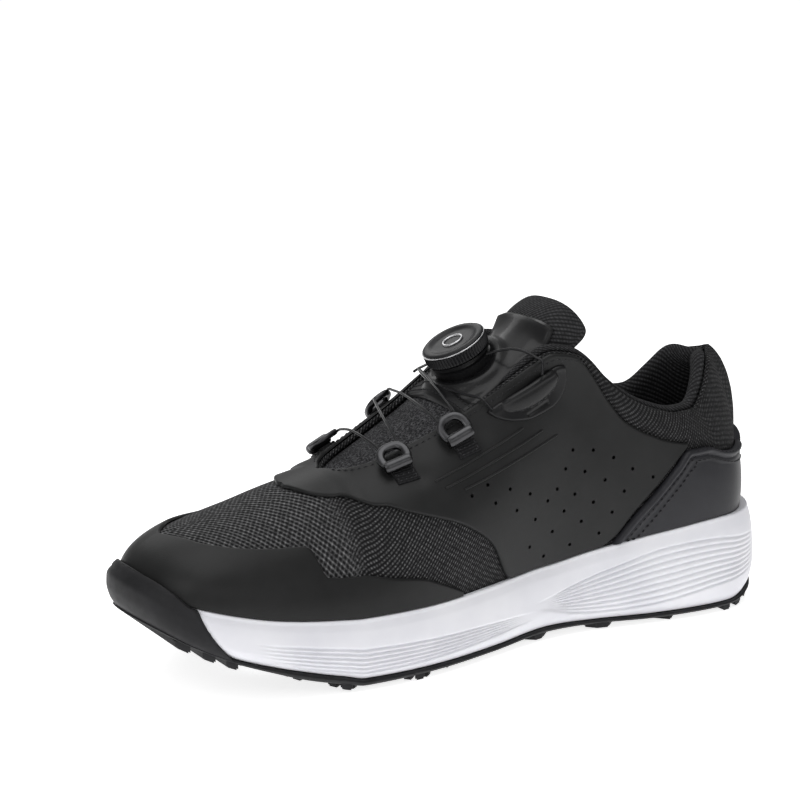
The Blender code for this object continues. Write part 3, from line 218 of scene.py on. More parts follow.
# Overlays: start and stop are the climbs between which the piece covers the upper at each way
COVER_COLUMNS = ("way", "start", "stop")
TOE_CAP = (
    (0.000, 0.0, 0.70),
    (0.070, 0.0, 0.67),
    (0.122, 0.0, 0.59),
    (0.185, 0.0, 0.50),
    (0.222, 0.0, 0.465),
    (0.262, 0.0, 0.42),
    (0.276, 0.0, 0.23),
    (0.330, 0.0, 0.21),
    (0.395, 0.0, 0.16),
    (0.422, 0.0, 0.105),
    (0.460, 0.0, 0.02),
)
QUARTER = (
    (0.260, 0.97, 1.0),
    (0.290, 0.77, 1.0),
    (0.320, 0.700, 1.0),
    (0.345, 0.678, 1.0),
    (0.370, 0.665, 1.0),
    (0.395, 0.59, 1.0),
    (0.422, 0.51, 1.0),
    (0.460, 0.395, 1.0),
    (0.500, 0.24, 1.0),
    (0.540, 0.00, 1.0),
    (0.660, 0.00, 1.0),
    (0.685, 0.04, 0.80),
    (0.710, 0.17, 0.75),
    (0.740, 0.33, 0.75),
    (0.775, 0.53, 0.73),
    (0.810, 0.70, 0.72),
)
COUNTER = (
    (0.685, 0.0, 0.015),
    (0.710, 0.0, 0.145),
    (0.740, 0.0, 0.30),
    (0.775, 0.0, 0.50),
    (0.810, 0.0, 0.66),
    (0.845, 0.0, 0.66),
    (0.900, 0.0, 0.50),
    (1.000, 0.0, 0.38),
)


def curve_slopes(x, y):
    step = np.diff(x)
    slope = np.diff(y) / step
    out = np.zeros(len(x))
    for i in range(1, len(x) - 1):
        if slope[i - 1] * slope[i] > 0:
            first = 2 * step[i] + step[i - 1]
            second = step[i] + 2 * step[i - 1]
            out[i] = (first + second) / (first / slope[i - 1] + second / slope[i])
    out[0] = slope[0]
    out[-1] = slope[-1]
    return out


def read(columns, rows, column, at):
    """A named column of a table as a smooth curve with no overshoot, at places of its first column."""
    x = np.array([row[0] for row in rows], float)
    y = np.array([row[columns.index(column)] for row in rows], float)
    slopes = curve_slopes(x, y)
    at = np.clip(np.asarray(at, float), x[0], x[-1])
    i = np.clip(np.searchsorted(x, at, side="right") - 1, 0, len(x) - 2)
    width = x[i + 1] - x[i]
    t = (at - x[i]) / width
    start = (1 + 2 * t) * (1 - t) ** 2 * y[i] + t * (1 - t) ** 2 * width * slopes[i]
    stop = t * t * (3 - 2 * t) * y[i + 1] + t * t * (t - 1) * width * slopes[i + 1]
    return start + stop


def closed_spline(points, steps):
    """A smooth closed curve through the points, with the same number of steps in each span."""
    count = len(points)
    ends = np.roll(points, -1, axis=0)
    span = np.sqrt(np.linalg.norm(ends - points, axis=1))
    matrix = np.zeros((count, count))
    right = np.zeros((count, 2))
    for i in range(count):
        before = span[i - 1]
        here = span[i]
        matrix[i, i - 1] += before
        matrix[i, i] += 2 * (before + here)
        matrix[i, (i + 1) % count] += here
        right[i] = 6 * ((ends[i] - points[i]) / here - (points[i] - points[i - 1]) / before)
    bend = np.linalg.solve(matrix, right)
    out = []
    for i in range(count):
        j = (i + 1) % count
        h = span[i]
        t = np.linspace(0, h, steps, endpoint=False)[:, None]
        rest = h - t
        arc = (bend[i] * rest**3 + bend[j] * t**3) / (6 * h)
        line = (points[i] / h - bend[i] * h / 6) * rest + (points[j] / h - bend[j] * h / 6) * t
        out.append(arc + line)
    return np.vstack(out)


def centre_line(along):
    return TOE_SWING * np.clip((np.asarray(along) - 0.6) / 0.4, 0, 1) ** 2


def outline_sides():
    """Both sides of the sole's outline from toe to heel: share of the way, points and outward normals."""
    steps = 60
    half = BALL_WIDTH / 2
    knots = []
    for along, medial, _ in reversed(PLAN):
        knots.append(((along - 0.5) * SOLE_LENGTH, centre_line(along) + medial * half))
    for along, _, lateral in PLAN[1:-1]:
        knots.append(((along - 0.5) * SOLE_LENGTH, centre_line(along) - lateral * half))
    points = closed_spline(np.array(knots), steps)
    heel = (len(PLAN) - 1) * steps
    tangent = np.roll(points, -1, axis=0) - np.roll(points, 1, axis=0)
    normal = np.column_stack([-tangent[:, 1], tangent[:, 0]])
    normal /= np.linalg.norm(normal, axis=1)[:, None]
    if (normal * points).sum() < 0:
        normal = -normal
    points = np.vstack([points, points[:1]])
    normal = np.vstack([normal, normal[:1]])
    sides = {}
    for name, part in (("medial", slice(0, heel + 1)), ("lateral", slice(len(points) - 1, heel - 1, -1))):
        line = points[part]
        run = np.r_[0, np.cumsum(np.linalg.norm(np.diff(line, axis=0), axis=1))]
        sides[name] = (run / run[-1], line, normal[part])
    return sides


OUTLINE = outline_sides()


def sole_edge(side, way, inset):
    """x, y, along and outward normal of the sole's outline, moved in by inset, at a share of the way to
    the heel."""
    run, line, out = OUTLINE[side]
    x = np.interp(way, run, line[:, 0])
    y = np.interp(way, run, line[:, 1])
    nx = np.interp(way, run, out[:, 0])
    ny = np.interp(way, run, out[:, 1])
    size = np.hypot(nx, ny)
    nx = nx / size
    ny = ny / size
    return x - inset * nx, y - inset * ny, x / SOLE_LENGTH + 0.5, nx, ny


def ground(along):
    return TOE_SPRING * read(LEVEL_COLUMNS, LEVELS, "ground", along)


def level(name, along):
    """Height of the outsole's top (plate), the midsole's rim or its bed."""
    size = OUTSOLE_THICKNESS if name == "plate" else SIDE_HEIGHT
    return ground(along) + size * read(LEVEL_COLUMNS, LEVELS, name, along)


def bumper_top(along):
    return level("rim", along) + BUMPER_RISE * read(LEVEL_COLUMNS, LEVELS, "bumper", along)


def rib_inset(way):
    return SIDE_HEIGHT * read(RIB_COLUMNS, RIBS, "inset", way)


def ridge_fall(along):
    """Slope of the ridge over the forefoot, towards the toe."""
    rows = sorted((row[1], row[4]) for row in RIBS if row[2] == 0 and row[1] > 0.5)
    step = 0.01
    high = np.clip(along + step, rows[0][0], rows[-1][0])
    low = np.clip(along - step, rows[0][0], rows[-1][0])
    fall = read(("along", "rise"), rows, "rise", high) - read(("along", "rise"), rows, "rise", low)
    return fall * UPPER_RISE / (np.maximum(high - low, 1e-6) * SOLE_LENGTH)


def rib(side, way, climb):
    """A point of the upper's outer surface. Way runs from toe to heel and climb from the rim to the top
    edge."""
    way, climb = np.broadcast_arrays(np.asarray(way, float), np.asarray(climb, float))

    def look(column):
        return read(RIB_COLUMNS, RIBS, column, way)

    x0, y0, along0, nx, ny = sole_edge(side, way, rib_inset(way))
    z0 = level("rim", along0)
    sign = 1 if side == "medial" else -1
    x1 = (look("along") - 0.5) * SOLE_LENGTH
    y1 = centre_line(look("along")) + sign * look(side) * BALL_WIDTH / 2
    z1 = SIDE_HEIGHT + look("rise") * UPPER_RISE
    run = np.hypot(x1 - x0, y1 - y0)
    dx = (x1 - x0) / run
    dy = (y1 - y0) / run
    tall = z1 - z0
    open_top = np.clip(look("medial") / 0.2, 0, 1)
    flat = (1 - open_top) + open_top * np.cos(look("slope"))
    steep = (1 - open_top) * ridge_fall(look("along")) * dx + open_top * np.sin(look("slope"))
    size = np.hypot(flat, steep)
    pull = look("top_pull") * ((1 - open_top) * run + open_top * np.hypot(run, tall))
    swell = look("swell") * tall
    corners = (
        (x0, y0, z0),
        (x0 + nx * swell, y0 + ny * swell, z0 + look("foot_pull") * tall),
        (x1 - dx * flat / size * pull, y1 - dy * flat / size * pull, z1 - steep / size * pull),
        (x1, y1, z1),
    )
    t = climb
    weights = ((1 - t) ** 3, 3 * t * (1 - t) ** 2, 3 * t * t * (1 - t), t**3)
    return np.stack([sum(w * c[k] for w, c in zip(weights, corners)) for k in range(3)], axis=-1)


def skin(side, way, climb, lift):
    """The upper's surface moved out by lift along its normal."""
    way, climb = np.broadcast_arrays(np.asarray(way, float), np.asarray(climb, float))
    other = "lateral" if side == "medial" else "medial"
    step = 0.006
    over_ridge = (climb > 0.98) & (way < 0.325)
    own_before = rib(side, np.maximum(way - step, 0), climb)
    across_toe = ((way < step) & ~over_ridge)[..., None]
    before = np.where(across_toe, rib(other, np.abs(step - way), climb), own_before)
    own_after = rib(side, np.minimum(way + step, 1), climb)
    across_heel = (way > 1 - step)[..., None]
    after = np.where(across_heel, rib(other, np.minimum(2 - way - step, 1), climb), own_after)
    low = rib(side, way, np.maximum(climb - 0.02, 0))
    high = rib(side, way, np.minimum(climb + 0.02, 1))
    normal = np.cross(after - before, high - low)
    if side == "lateral":
        normal = -normal
    fall = ridge_fall(read(RIB_COLUMNS, RIBS, "along", way))
    ridge = np.stack([-fall, np.zeros_like(fall), np.ones_like(fall)], axis=-1)
    normal = np.where((over_ridge & (climb > 0.999))[..., None], ridge, normal)
    normal /= np.linalg.norm(normal, axis=-1)[..., None]
    return rib(side, way, climb) + np.asarray(lift)[..., None] * normal

# Collar: at each way a closed loop, down the upper's inner face and up the padding's, with a roll over the
# top edge. The roll's points are shares of the padding, outwards and upwards from the inner face's top.
COLLAR_COLUMNS = ("way", "pad", "low")
COLLAR = (
    (0.575, 0.45, 0.80),
    (0.635, 0.90, 0.62),
    (0.740, 1.00, 0.42),
    (0.845, 1.05, 0.40),
    (1.000, 1.25, 0.45),
)
COLLAR_ROLL = ((0.00, 0.05), (0.14, 0.26), (0.06, 0.52), (-0.26, 0.70), (-0.66, 0.56), (-0.95, 0.14))


def edge_frame(side, way):
    """Top point of a rib with its outward and upward directions."""
    top = rib(side, way, 1.0)
    up = top - rib(side, way, 0.95)
    up = up / np.linalg.norm(up)
    out = skin(side, way, 1.0, 1.0) - top
    return top, out, up


def collar_loop(side, way):
    pad = COLLAR_PAD * float(read(COLLAR_COLUMNS, COLLAR, "pad", way))
    low = float(read(COLLAR_COLUMNS, COLLAR, "low", way))
    clear = UPPER_WALL + SEAM
    climbs = np.linspace(low, 1, 4)
    points = [skin(side, way, climb, -clear) for climb in climbs]
    top, out, up = edge_frame(side, way)
    base = top - out * clear
    points += [base + out * (pad * a) + up * (pad * b) for a, b in COLLAR_ROLL]
    for climb, full in ((0.97, 1.0), (climbs[2], 0.95), (climbs[1], 0.75)):
        points.append(skin(side, way, climb, -clear - pad * full))
    points.append(skin(side, way, climbs[0], -clear - pad * 0.15))
    return points

# Tongue: the ribs' own inner face continued across the throat. Crown is how far its middle stands up.
TONGUE_COLUMNS = ("way", "crown", "pad")
TONGUE = (
    (0.290, 0.00, 0.60),
    (0.345, 0.02, 0.70),
    (0.422, 0.35, 0.80),
    (0.540, 0.80, 1.00),
    (0.635, 1.00, 1.30),
)
TONGUE_CROWN = 0.0050
TONGUE_BACK = 0.0170
TONGUE_RISE = 0.0135
TONGUE_HALF = 0.0245
# The free top of the tongue: shares of the way back, the rise, the half width, the fall of its edge and the
# pad
TONGUE_TIP = (
    (0.40, 0.48, 1.02, 0.26, 1.60),
    (0.75, 0.85, 0.98, 0.30, 1.80),
    (0.96, 1.00, 0.88, 0.32, 1.40),
    (1.04, 0.98, 0.80, 0.32, 0.70),
)
FLANK = (0.86, 0.93, 0.985)
TONGUE_WAYS = (0.290, 0.305, 0.320, 0.333, 0.345, 0.358, 0.370, 0.383, 0.395, 0.408, 0.422, 0.441,
               0.460, 0.480, 0.500, 0.520, 0.540, 0.558, 0.575, 0.590, 0.605, 0.620, 0.635)
SADDLE_WAYS = (0.515, 0.540, 0.575, 0.605, 0.635)
FLANK_PAD = (0.5, 0.8, 0.95)
ACROSS = (0.16, 0.50)


def tongue_lift(way):
    """How far under the upper's outer face the tongue lies: under the wall, and under the collar where
    that starts."""
    pad = float(read(COLLAR_COLUMNS, COLLAR, "pad", way)) if way > 0.56 else 0.0
    return UPPER_WALL + 2 * GAP + pad * (COLLAR_PAD + GAP * 3)


def tongue_middle(way):
    lift = tongue_lift(way)
    sides = [skin(side, way, 1.0, -lift) for side in SIDES]
    crown = TONGUE_CROWN * float(read(TONGUE_COLUMNS, TONGUE, "crown", way))
    return (sides[0] + sides[1]) / 2 + np.array([crown * 0.5, 0, crown * 0.87])


def tongue_row(way):
    """The tongue's upper and lower points across one station, from the medial flank to the lateral one."""
    lift = tongue_lift(way)
    pad = TONGUE_PAD * float(read(TONGUE_COLUMNS, TONGUE, "pad", way))
    middle = tongue_middle(way)
    step = 0.012
    run = tongue_middle(way + step) - tongue_middle(way - step)
    up = np.array([-run[2], 0, run[0]])
    up *= np.sign(up[2]) / np.linalg.norm(up)
    top = {}
    bottom = {}
    for side in SIDES:
        highs = [skin(side, way, climb, -lift) for climb in FLANK]
        lows = [skin(side, way, climb, -lift - pad * full) for climb, full in zip(FLANK, FLANK_PAD)]
        for share in ACROSS:
            curve = math.sin(share * math.pi / 2)
            point = highs[2] + (middle - highs[2]) * np.array([share, share, curve])
            highs.append(point)
            lows.append(point - up * pad)
        top[side] = highs
        bottom[side] = lows
    high = top["medial"] + [middle] + top["lateral"][::-1]
    low = bottom["medial"] + [middle - up * pad] + bottom["lateral"][::-1]
    return high, low


def tongue_tip_rows():
    corner = tongue_middle(0.635)
    rows = []
    for back, rise, half, fall, pad in TONGUE_TIP:
        middle = corner + np.array([-TONGUE_BACK * back, 0, TONGUE_RISE * rise])
        width = TONGUE_HALF * half
        high = []
        low = []
        for k in range(2 * (len(FLANK) + len(ACROSS)) + 1):
            v = 1 - k / (len(FLANK) + len(ACROSS))
            y = width * math.sin(v * math.pi / 2)
            drop = width * fall * abs(v) ** 2.5 * 1.5
            point = middle + np.array([-drop * 0.5, y, -drop])
            thin = TONGUE_PAD * pad * (1 - 0.55 * abs(v) ** 3)
            high.append(point)
            low.append(point + np.array([-thin * 0.72, 0, -thin * 0.69]))
        rows.append((high, low))
    return rows


def way_of(along):
    """The rib whose top lies at a place along the throat."""
    rows = [(row[1], row[0]) for row in RIBS if 0.3 <= row[0] <= 0.64]
    rows.sort()
    return float(read(("along", "way"), rows, "way", along))


def dial_frame():
    """Matrix of the dial: its origin on the saddle, Z along its axis."""
    middle = tongue_middle(way_of(DIAL_PLACE))
    axis = Vector((math.sin(DIAL_TILT), 0, math.cos(DIAL_TILT)))
    seat = Vector(middle) + axis * (SEAM + SADDLE_SKIN + DIAL_STAND)
    turn = Vector((0, 0, 1)).rotation_difference(axis).to_matrix().to_4x4()
    return Matrix.Translation(seat) @ turn

GUIDE_CLIMB = 0.945


def guide_frame(side, along):
    """Matrix of a guide: origin on the tab, X along the throat's edge, Z out of the surface."""
    way = way_of(along)
    lift = SEAM + OVERLAY + SEAM + TAB_THICKNESS + SEAM
    place = skin(side, way, GUIDE_CLIMB, lift)
    out = place - rib(side, way, GUIDE_CLIMB)
    run = rib(side, way - 0.01, GUIDE_CLIMB) - rib(side, way + 0.01, GUIDE_CLIMB)
    z = Vector(out).normalized()
    x = Vector(run).normalized()
    y = z.cross(x).normalized()
    x = y.cross(z)
    turn = Matrix((x, y, z)).transposed().to_4x4()
    return Matrix.Translation(Vector(place)) @ turn


def guide_mouth(side, number):
    """The point where the wire turns in front of a guide, on the throat's side of it."""
    frame = guide_frame(side, LOOP_PLACES[side, number])
    sign = 1 if side == "lateral" else -1
    centre = frame @ Vector((0, 0, GUIDE_THICKNESS / 2))
    across = frame.to_3x3() @ Vector((0, 1, 0))
    if across.y * sign < 0:
        across = -across
    return centre + across * (GUIDE_WIDTH / 2 + WIRE_RADIUS + GAP)


def over_edge(side, along):
    """A point above the throat's edge, where a wire leaves the leather."""
    return Vector(skin(side, way_of(along), 1.0, HOOK_LIFT))


def arched(start, end, share, bow):
    """A point of a bar that bows over the tongue's crown."""
    return start.lerp(end, share) + Vector(bow) * math.sin(math.pi * share)


def midsole_inset(share):
    """How far the midsole's side lies inside the outline at a share of its height."""
    rows = ((0.0, 0.0026), (0.10, 0.0010), (0.30, 0.0), (0.60, 0.0004), (0.85, 0.0014), (1.0, 0.0028))
    return read(("share", "inset"), rows, "inset", share)

# The bumper wraps the toe: share of its height, and how far it stands out from the outline
BUMPER_BULGE = (
    (0.0, -0.0024),
    (0.25, 0.0002),
    (0.5, 0.0012),
    (0.7, 0.0010),
    (0.85, -0.0004),
    (0.95, -0.0022),
    (1.0, -0.0036),
)
# Where it runs out it lies flush with the midsole: how far inside the outline that is
BUMPER_FLUSH = ((0, 0.0026), (0.1, 0.001), (0.3, 0.0), (1, 0.0014))
BUMPER_FOOT = 0.172
BUMPER_TOP = 0.122


def well_centre():
    return (WELL_PLACE - 0.5) * SOLE_LENGTH, WELL_SHIFT


def octagon(grow):
    """Corners of the cleat well, grown by an amount, in order."""
    cx, cy = well_centre()
    hx = WELL_LENGTH / 2 + grow
    hy = WELL_WIDTH / 2 + grow
    cut = WELL_CORNER + grow * 0.586
    corners = ((hx - cut * 1.5, hy), (hx, hy - cut), (hx, cut - hy), (hx - cut * 1.5, -hy))
    corners += ((cut * 1.5 - hx, -hy), (-hx, cut - hy), (-hx, hy - cut), (cut * 1.5 - hx, hy))
    return [(cx + x, cy + y) for x, y in corners]


def well_lift(x):
    """The well's floor and what lies in it rise evenly to the front."""
    return WELL_RISE * ((x - well_centre()[0]) / WELL_LENGTH + 0.5)


def lug_boxes():
    """Centre, half sizes and turn of every lug and cross bar of the tread, before the edge trims them."""
    boxes = []
    half = LUG_SIDE / 2
    rows = int(SOLE_LENGTH / LUG_ROW)
    first = -(rows - 1) / 2 * LUG_ROW
    bar_zone = BARS * BAR_PITCH + 0.008
    for row in range(rows):
        x = first + row * LUG_ROW
        if abs(x) > SOLE_LENGTH / 2 - bar_zone - half:
            continue
        shift = LUG_COLUMN / 2 if row % 2 else 0
        for column in range(-4, 5):
            y = column * LUG_COLUMN + shift
            boxes.append((x, y, half, half, math.radians(45)))
    for end in (-1, 1):
        for bar in range(BARS):
            x = end * (SOLE_LENGTH / 2 - BAR_FROM - bar * BAR_PITCH)
            boxes.append((x, 0, BAR_WIDTH / 2, BALL_WIDTH, 0))
    return boxes


def inside_sole(x, y, margin):
    for side, sign in (("medial", 1), ("lateral", -1)):
        ways = np.linspace(0, 1, 200)
        ex, ey, _, _, _ = sole_edge(side, ways, margin)
        order = np.argsort(ex)
        if not ex.min() < x < ex.max():
            return False
        if sign * y > sign * np.interp(x, ex[order], ey[order]):
            return False
    return True


# Looks: sizes of the fine surface

FINE_WAY = 0.0040
COVER_ROWS = 34
CLOTH_RUN = 0.34
THROAT_WAY = 0.32
PUFF = 0.0017
RIM_ROLL = 0.0006
SOFT_EDGE = 0.0009
PIPING_WIDTH = 0.0032
PIPING_HEIGHT = 0.0015
STITCH_PITCH = 0.0027
STITCH_LENGTH = 0.0019
STITCH_RADIUS = 0.00030
GROOVE_WIDTH = 0.00050
GROOVE_CUT = 0.0010
SIDE_ROWS = 120
SIDE_WAY = 0.0050
COLLAR_WAY = 0.0122
RING_WIDTH = 0.012
TUCK = 0.0016
INSERT_RING = 0.0004
SEAT_RIM = 0.0026
SEAT_RADIUS = 0.0150
SADDLE_EDGE = 0.0022
HOLE_RADIUS = 0.00078
HOLE_LENGTH = 0.005
SEAM_TUBE = 0.00045
HAIR = 0.0001
LACE_RADIUS = 0.00055
TAB_LOW = 0.775
TAB_TOP = 0.935
TAB_HALF = 0.0145
TAB_SEAM = 0.0115
TAB_STITCHES = (0.79, 0.825)
BORDERS = ("first", "last", "low", "top")
KNOB_TEETH = 64
KNOB_STEPS = 384

# Soft troughs and ridges of the worn-in upper: side, centre way and climb, half lengths
# on the way and the climb, how the fold leans, and its depth
CREASES = (
    ("medial", 0.295, 0.56, 0.018, 0.20, 0.10, -0.00055),
    ("medial", 0.330, 0.50, 0.014, 0.17, 0.10, 0.00035),
    ("medial", 0.362, 0.42, 0.016, 0.18, 0.12, -0.00055),
    ("medial", 0.428, 0.78, 0.013, 0.07, 0.00, -0.00060),
    ("medial", 0.512, 0.80, 0.013, 0.07, 0.00, -0.00060),
    ("medial", 0.470, 0.80, 0.016, 0.10, 0.00, 0.00045),
    ("medial", 0.640, 0.62, 0.020, 0.16, -0.08, -0.00045),
    ("lateral", 0.290, 0.55, 0.018, 0.20, 0.10, -0.00055),
    ("lateral", 0.325, 0.50, 0.014, 0.17, 0.10, 0.00035),
    ("lateral", 0.358, 0.42, 0.016, 0.18, 0.12, -0.00055),
    ("lateral", 0.430, 0.78, 0.013, 0.07, 0.00, -0.00060),
    ("lateral", 0.515, 0.80, 0.013, 0.07, 0.00, -0.00060),
    ("lateral", 0.640, 0.62, 0.020, 0.16, -0.08, -0.00045),
)

# The top guide's flange: flat along the throat, round below
HALF_MOON = (
    (0.537, 0.925, 0.935),
    (0.541, 0.880, 0.937),
    (0.555, 0.815, 0.940),
    (0.575, 0.775, 0.940),
    (0.600, 0.765, 0.940),
    (0.620, 0.800, 0.937),
    (0.632, 0.860, 0.935),
    (0.638, 0.925, 0.935),
)

# Rows of punched holes in the quarter: way and climb of the first hole, of the last hole, and how many
PUNCHES = (
    (0.619, 0.515, 0.738, 0.418, 5),
    (0.607, 0.446, 0.694, 0.297, 4),
    (0.595, 0.369, 0.678, 0.185, 4),
    (0.500, 0.573, 0.663, 0.089, 7),
    (0.477, 0.548, 0.624, 0.076, 6),
    (0.562, 0.133, 0.587, 0.061, 2),
)

# Moulded lines on the quarter: three points each, as way and climb
LINES = (
    ((0.440, 0.715), (0.500, 0.745), (0.560, 0.760)),
    ((0.448, 0.650), (0.510, 0.680), (0.580, 0.690)),
    ((0.470, 0.600), (0.530, 0.620), (0.598, 0.625)),
)

# The midsole's carved lines: middle and spread of the bundle as shares of the side's height, and how deep
HEEL_LINES = 9
HEEL_FAN = (
    (0.030, 0.50, 0.40, 0.0),
    (0.070, 0.52, 0.46, 0.5),
    (0.130, 0.53, 0.56, 1.0),
    (0.225, 0.49, 0.68, 1.0),
    (0.305, 0.42, 0.60, 1.0),
    (0.360, 0.40, 0.44, 1.0),
    (0.405, 0.42, 0.18, 0.6),
    (0.425, 0.44, 0.08, 0.0),
)
TREAD_SIDE = ((0.0, 0.0030), (0.05, 0.0023), (0.30, 0.0014), (0.60, 0.0010), (0.90, 0.0014), (1.0, 0.0022))
FORE_LINES = 6
FORE_FAN = (
    (0.430, 0.30, 0.08, 0.0),
    (0.470, 0.32, 0.16, 0.7),
    (0.560, 0.33, 0.28, 1.0),
    (0.700, 0.33, 0.40, 1.0),
    (0.800, 0.32, 0.44, 0.8),
    (0.870, 0.30, 0.44, 0.0),
)
FAN_COLUMNS = ("along", "middle", "spread", "depth")

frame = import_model()


def frame_shift():
    """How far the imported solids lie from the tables' own frame."""
    low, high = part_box("cleat_rim")
    x, y = well_centre()
    return np.array([(low[0] + high[0]) / 2 - x, (low[1] + high[1]) / 2 - y, 0.0])


SHIFT = frame_shift()


# Materials


class Wiring:
    """Adds nodes to one material and links them."""

    def __init__(self, name, colour, roughness, metallic=0.0, coat=0.0, coat_roughness=0.1, specular=0.22):
        self.material = bpy.data.materials.new(name)
        self.material.use_nodes = True
        self.tree = self.material.node_tree
        self.shader = self.tree.nodes["Principled BSDF"]
        for key, value in (
            ("Base Color", (*colour, 1)),
            ("Roughness", roughness),
            ("Metallic", metallic),
            ("Coat Weight", coat),
            ("Coat Roughness", coat_roughness),
            ("Specular IOR Level", specular),
        ):
            self.shader.inputs[key].default_value = value

    def put(self, kind, inputs, **settings):
        node = self.tree.nodes.new(kind)
        for key, value in settings.items():
            setattr(node, key, value)
        for key, value in inputs.items():
            if isinstance(value, bpy.types.NodeSocket):
                self.tree.links.new(value, node.inputs[key])
            else:
                node.inputs[key].default_value = value
        return node

    def math(self, operation, first, second=0.0, clamp=False):
        node = self.put("ShaderNodeMath", {0: first, 1: second}, operation=operation, use_clamp=clamp)
        return node.outputs[0]

    def sum(self, first, share, second, other):
        """Two values, each times its own number, added."""
        return self.math("ADD", self.math("MULTIPLY", first, share), self.math("MULTIPLY", second, other))

    def times(self, first, second, clamp=False):
        return self.math("MULTIPLY", first, second, clamp)

    def place(self):
        return self.put("ShaderNodeTexCoord", {}).outputs["Object"]

    def cloth(self):
        """The two metric coordinates of a piece's own surface."""
        flat = self.put("ShaderNodeUVMap", {}, uv_map="cloth").outputs[0]
        split = self.put("ShaderNodeSeparateXYZ", {0: flat})
        return split.outputs[0], split.outputs[1]

    def noise(self, size, detail=2.0):
        """Even noise from 0 to 1 whose spots are about size metres wide."""
        inputs = {"Vector": self.place(), "Scale": 1 / size, "Detail": detail}
        return self.put("ShaderNodeTexNoise", inputs).outputs[0]

    def cells(self, size):
        return self.put("ShaderNodeTexVoronoi", {"Vector": self.place(), "Scale": 1 / size}).outputs[0]

    def wave(self, run, pitch):
        """A cosine from 0 to 1 along a metric coordinate."""
        turn = self.math("COSINE", self.math("MULTIPLY", run, 2 * math.pi / pitch))
        return self.math("ADD", self.math("MULTIPLY", turn, 0.5), 0.5)

    def span(self, value, low, high, first=0.0, last=1.0):
        inputs = {"Value": value, "From Min": low, "From Max": high, "To Min": first, "To Max": last}
        return self.put("ShaderNodeMapRange", inputs).outputs[0]

    def colour(self, share, first, second):
        node = self.put("ShaderNodeMix", {0: share}, data_type="RGBA")
        node.inputs[6].default_value = (*first, 1)
        node.inputs[7].default_value = (*second, 1)
        self.tree.links.new(node.outputs[2], self.shader.inputs["Base Color"])

    def blend(self, share, first, second):
        return self.put("ShaderNodeMix", {0: share, 2: first, 3: second}).outputs[0]

    def rough(self, share, low, high):
        self.tree.links.new(self.span(share, 0.0, 1.0, low, high), self.shader.inputs["Roughness"])

    def bump(self, height, distance, strength=1.0, before=None):
        inputs = {"Height": height, "Distance": distance, "Strength": strength}
        if before is not None:
            inputs["Normal"] = before
        return self.put("ShaderNodeBump", inputs).outputs[0]

    def finish(self, normal):
        self.tree.links.new(normal, self.shader.inputs["Normal"])
        return self.material


def leather_like(name, dark, light, low, high, grain=0.00042, depth=0.00003, coat=0.0):
    """A smooth coated synthetic: close fine grain, slow waves, and uneven gloss."""
    made = Wiring(name, dark, low, coat=coat, coat_roughness=0.28)
    slow = made.noise(0.018, 3.0)
    fine = made.cells(grain)
    made.colour(made.span(slow, 0.35, 0.70), dark, light)
    made.rough(made.sum(slow, 0.7, fine, 0.3), low, high)
    waves = made.bump(made.noise(0.009, 2.0), 0.00022, 0.5)
    return made.finish(made.bump(fine, depth, 0.7, waves))


def rubber():
    made = Wiring("rubber", (0.020, 0.020, 0.022), 0.55)
    made.colour(made.span(made.noise(0.012, 4.0), 0.3, 0.75), (0.011, 0.011, 0.012), (0.020, 0.020, 0.022))
    made.rough(made.noise(0.004, 3.0), 0.42, 0.72)
    return made.finish(made.bump(made.noise(0.0005, 3.0), 0.00006, 0.6))


def foam():
    made = Wiring("foam", (0.80, 0.80, 0.84), 0.5)
    made.colour(made.span(made.noise(0.03, 3.0), 0.3, 0.7), (0.74, 0.74, 0.785), (0.83, 0.83, 0.865))
    made.rough(made.noise(0.006, 2.0), 0.42, 0.60)
    return made.finish(made.bump(made.cells(0.0007), 0.00003, 0.5))


def knit():
    """Open staggered mesh over the toes, fine slanting rows at the side and round the collar."""
    made = Wiring("knit", (0.03, 0.03, 0.032), 0.85)
    along, down = made.cloth()
    x = made.put("ShaderNodeSeparateXYZ", {0: made.place()}).outputs[0]
    rise = made.sum(along, 1.0, down, 0.62)
    fall = made.sum(along, 1.0, down, -0.62)
    strand_a = made.math("POWER", made.wave(rise, 0.00215), 2.2)
    strand_b = made.math("POWER", made.wave(fall, 0.00215), 2.2)
    crossing = made.times(strand_a, made.span(strand_b, 0.0, 1.0, 0.25, 1.0))
    other = made.times(made.times(strand_b, 0.55), made.math("SUBTRACT", 1.0, strand_a))
    open_mesh = made.math("ADD", crossing, other, clamp=True)
    slant = made.sum(along, 0.75, down, 0.66)
    over = made.sum(along, 0.66, down, -0.75)
    rows = made.math("POWER", made.wave(slant, 0.00125), 1.6)
    dashes = made.span(made.wave(over, 0.00170), 0.1, 0.8, 0.25, 1.0)
    fine_rows = made.times(rows, dashes)
    front = made.span(x, 0.058, 0.066)
    cloth = made.blend(front, fine_rows, open_mesh)
    speck = made.span(made.noise(0.0011, 2.0), 0.35, 0.68, 0.25, 1.15)
    yarn = made.times(cloth, speck)
    strength = made.blend(made.span(x, -0.03, 0.0), 0.40, made.blend(front, 0.62, 1.0))
    share = made.times(yarn, strength, clamp=True)
    made.colour(share, (0.005, 0.005, 0.0055), (0.250, 0.250, 0.255))
    made.rough(cloth, 0.95, 0.70)
    return made.finish(made.bump(cloth, 0.00050, 0.9))


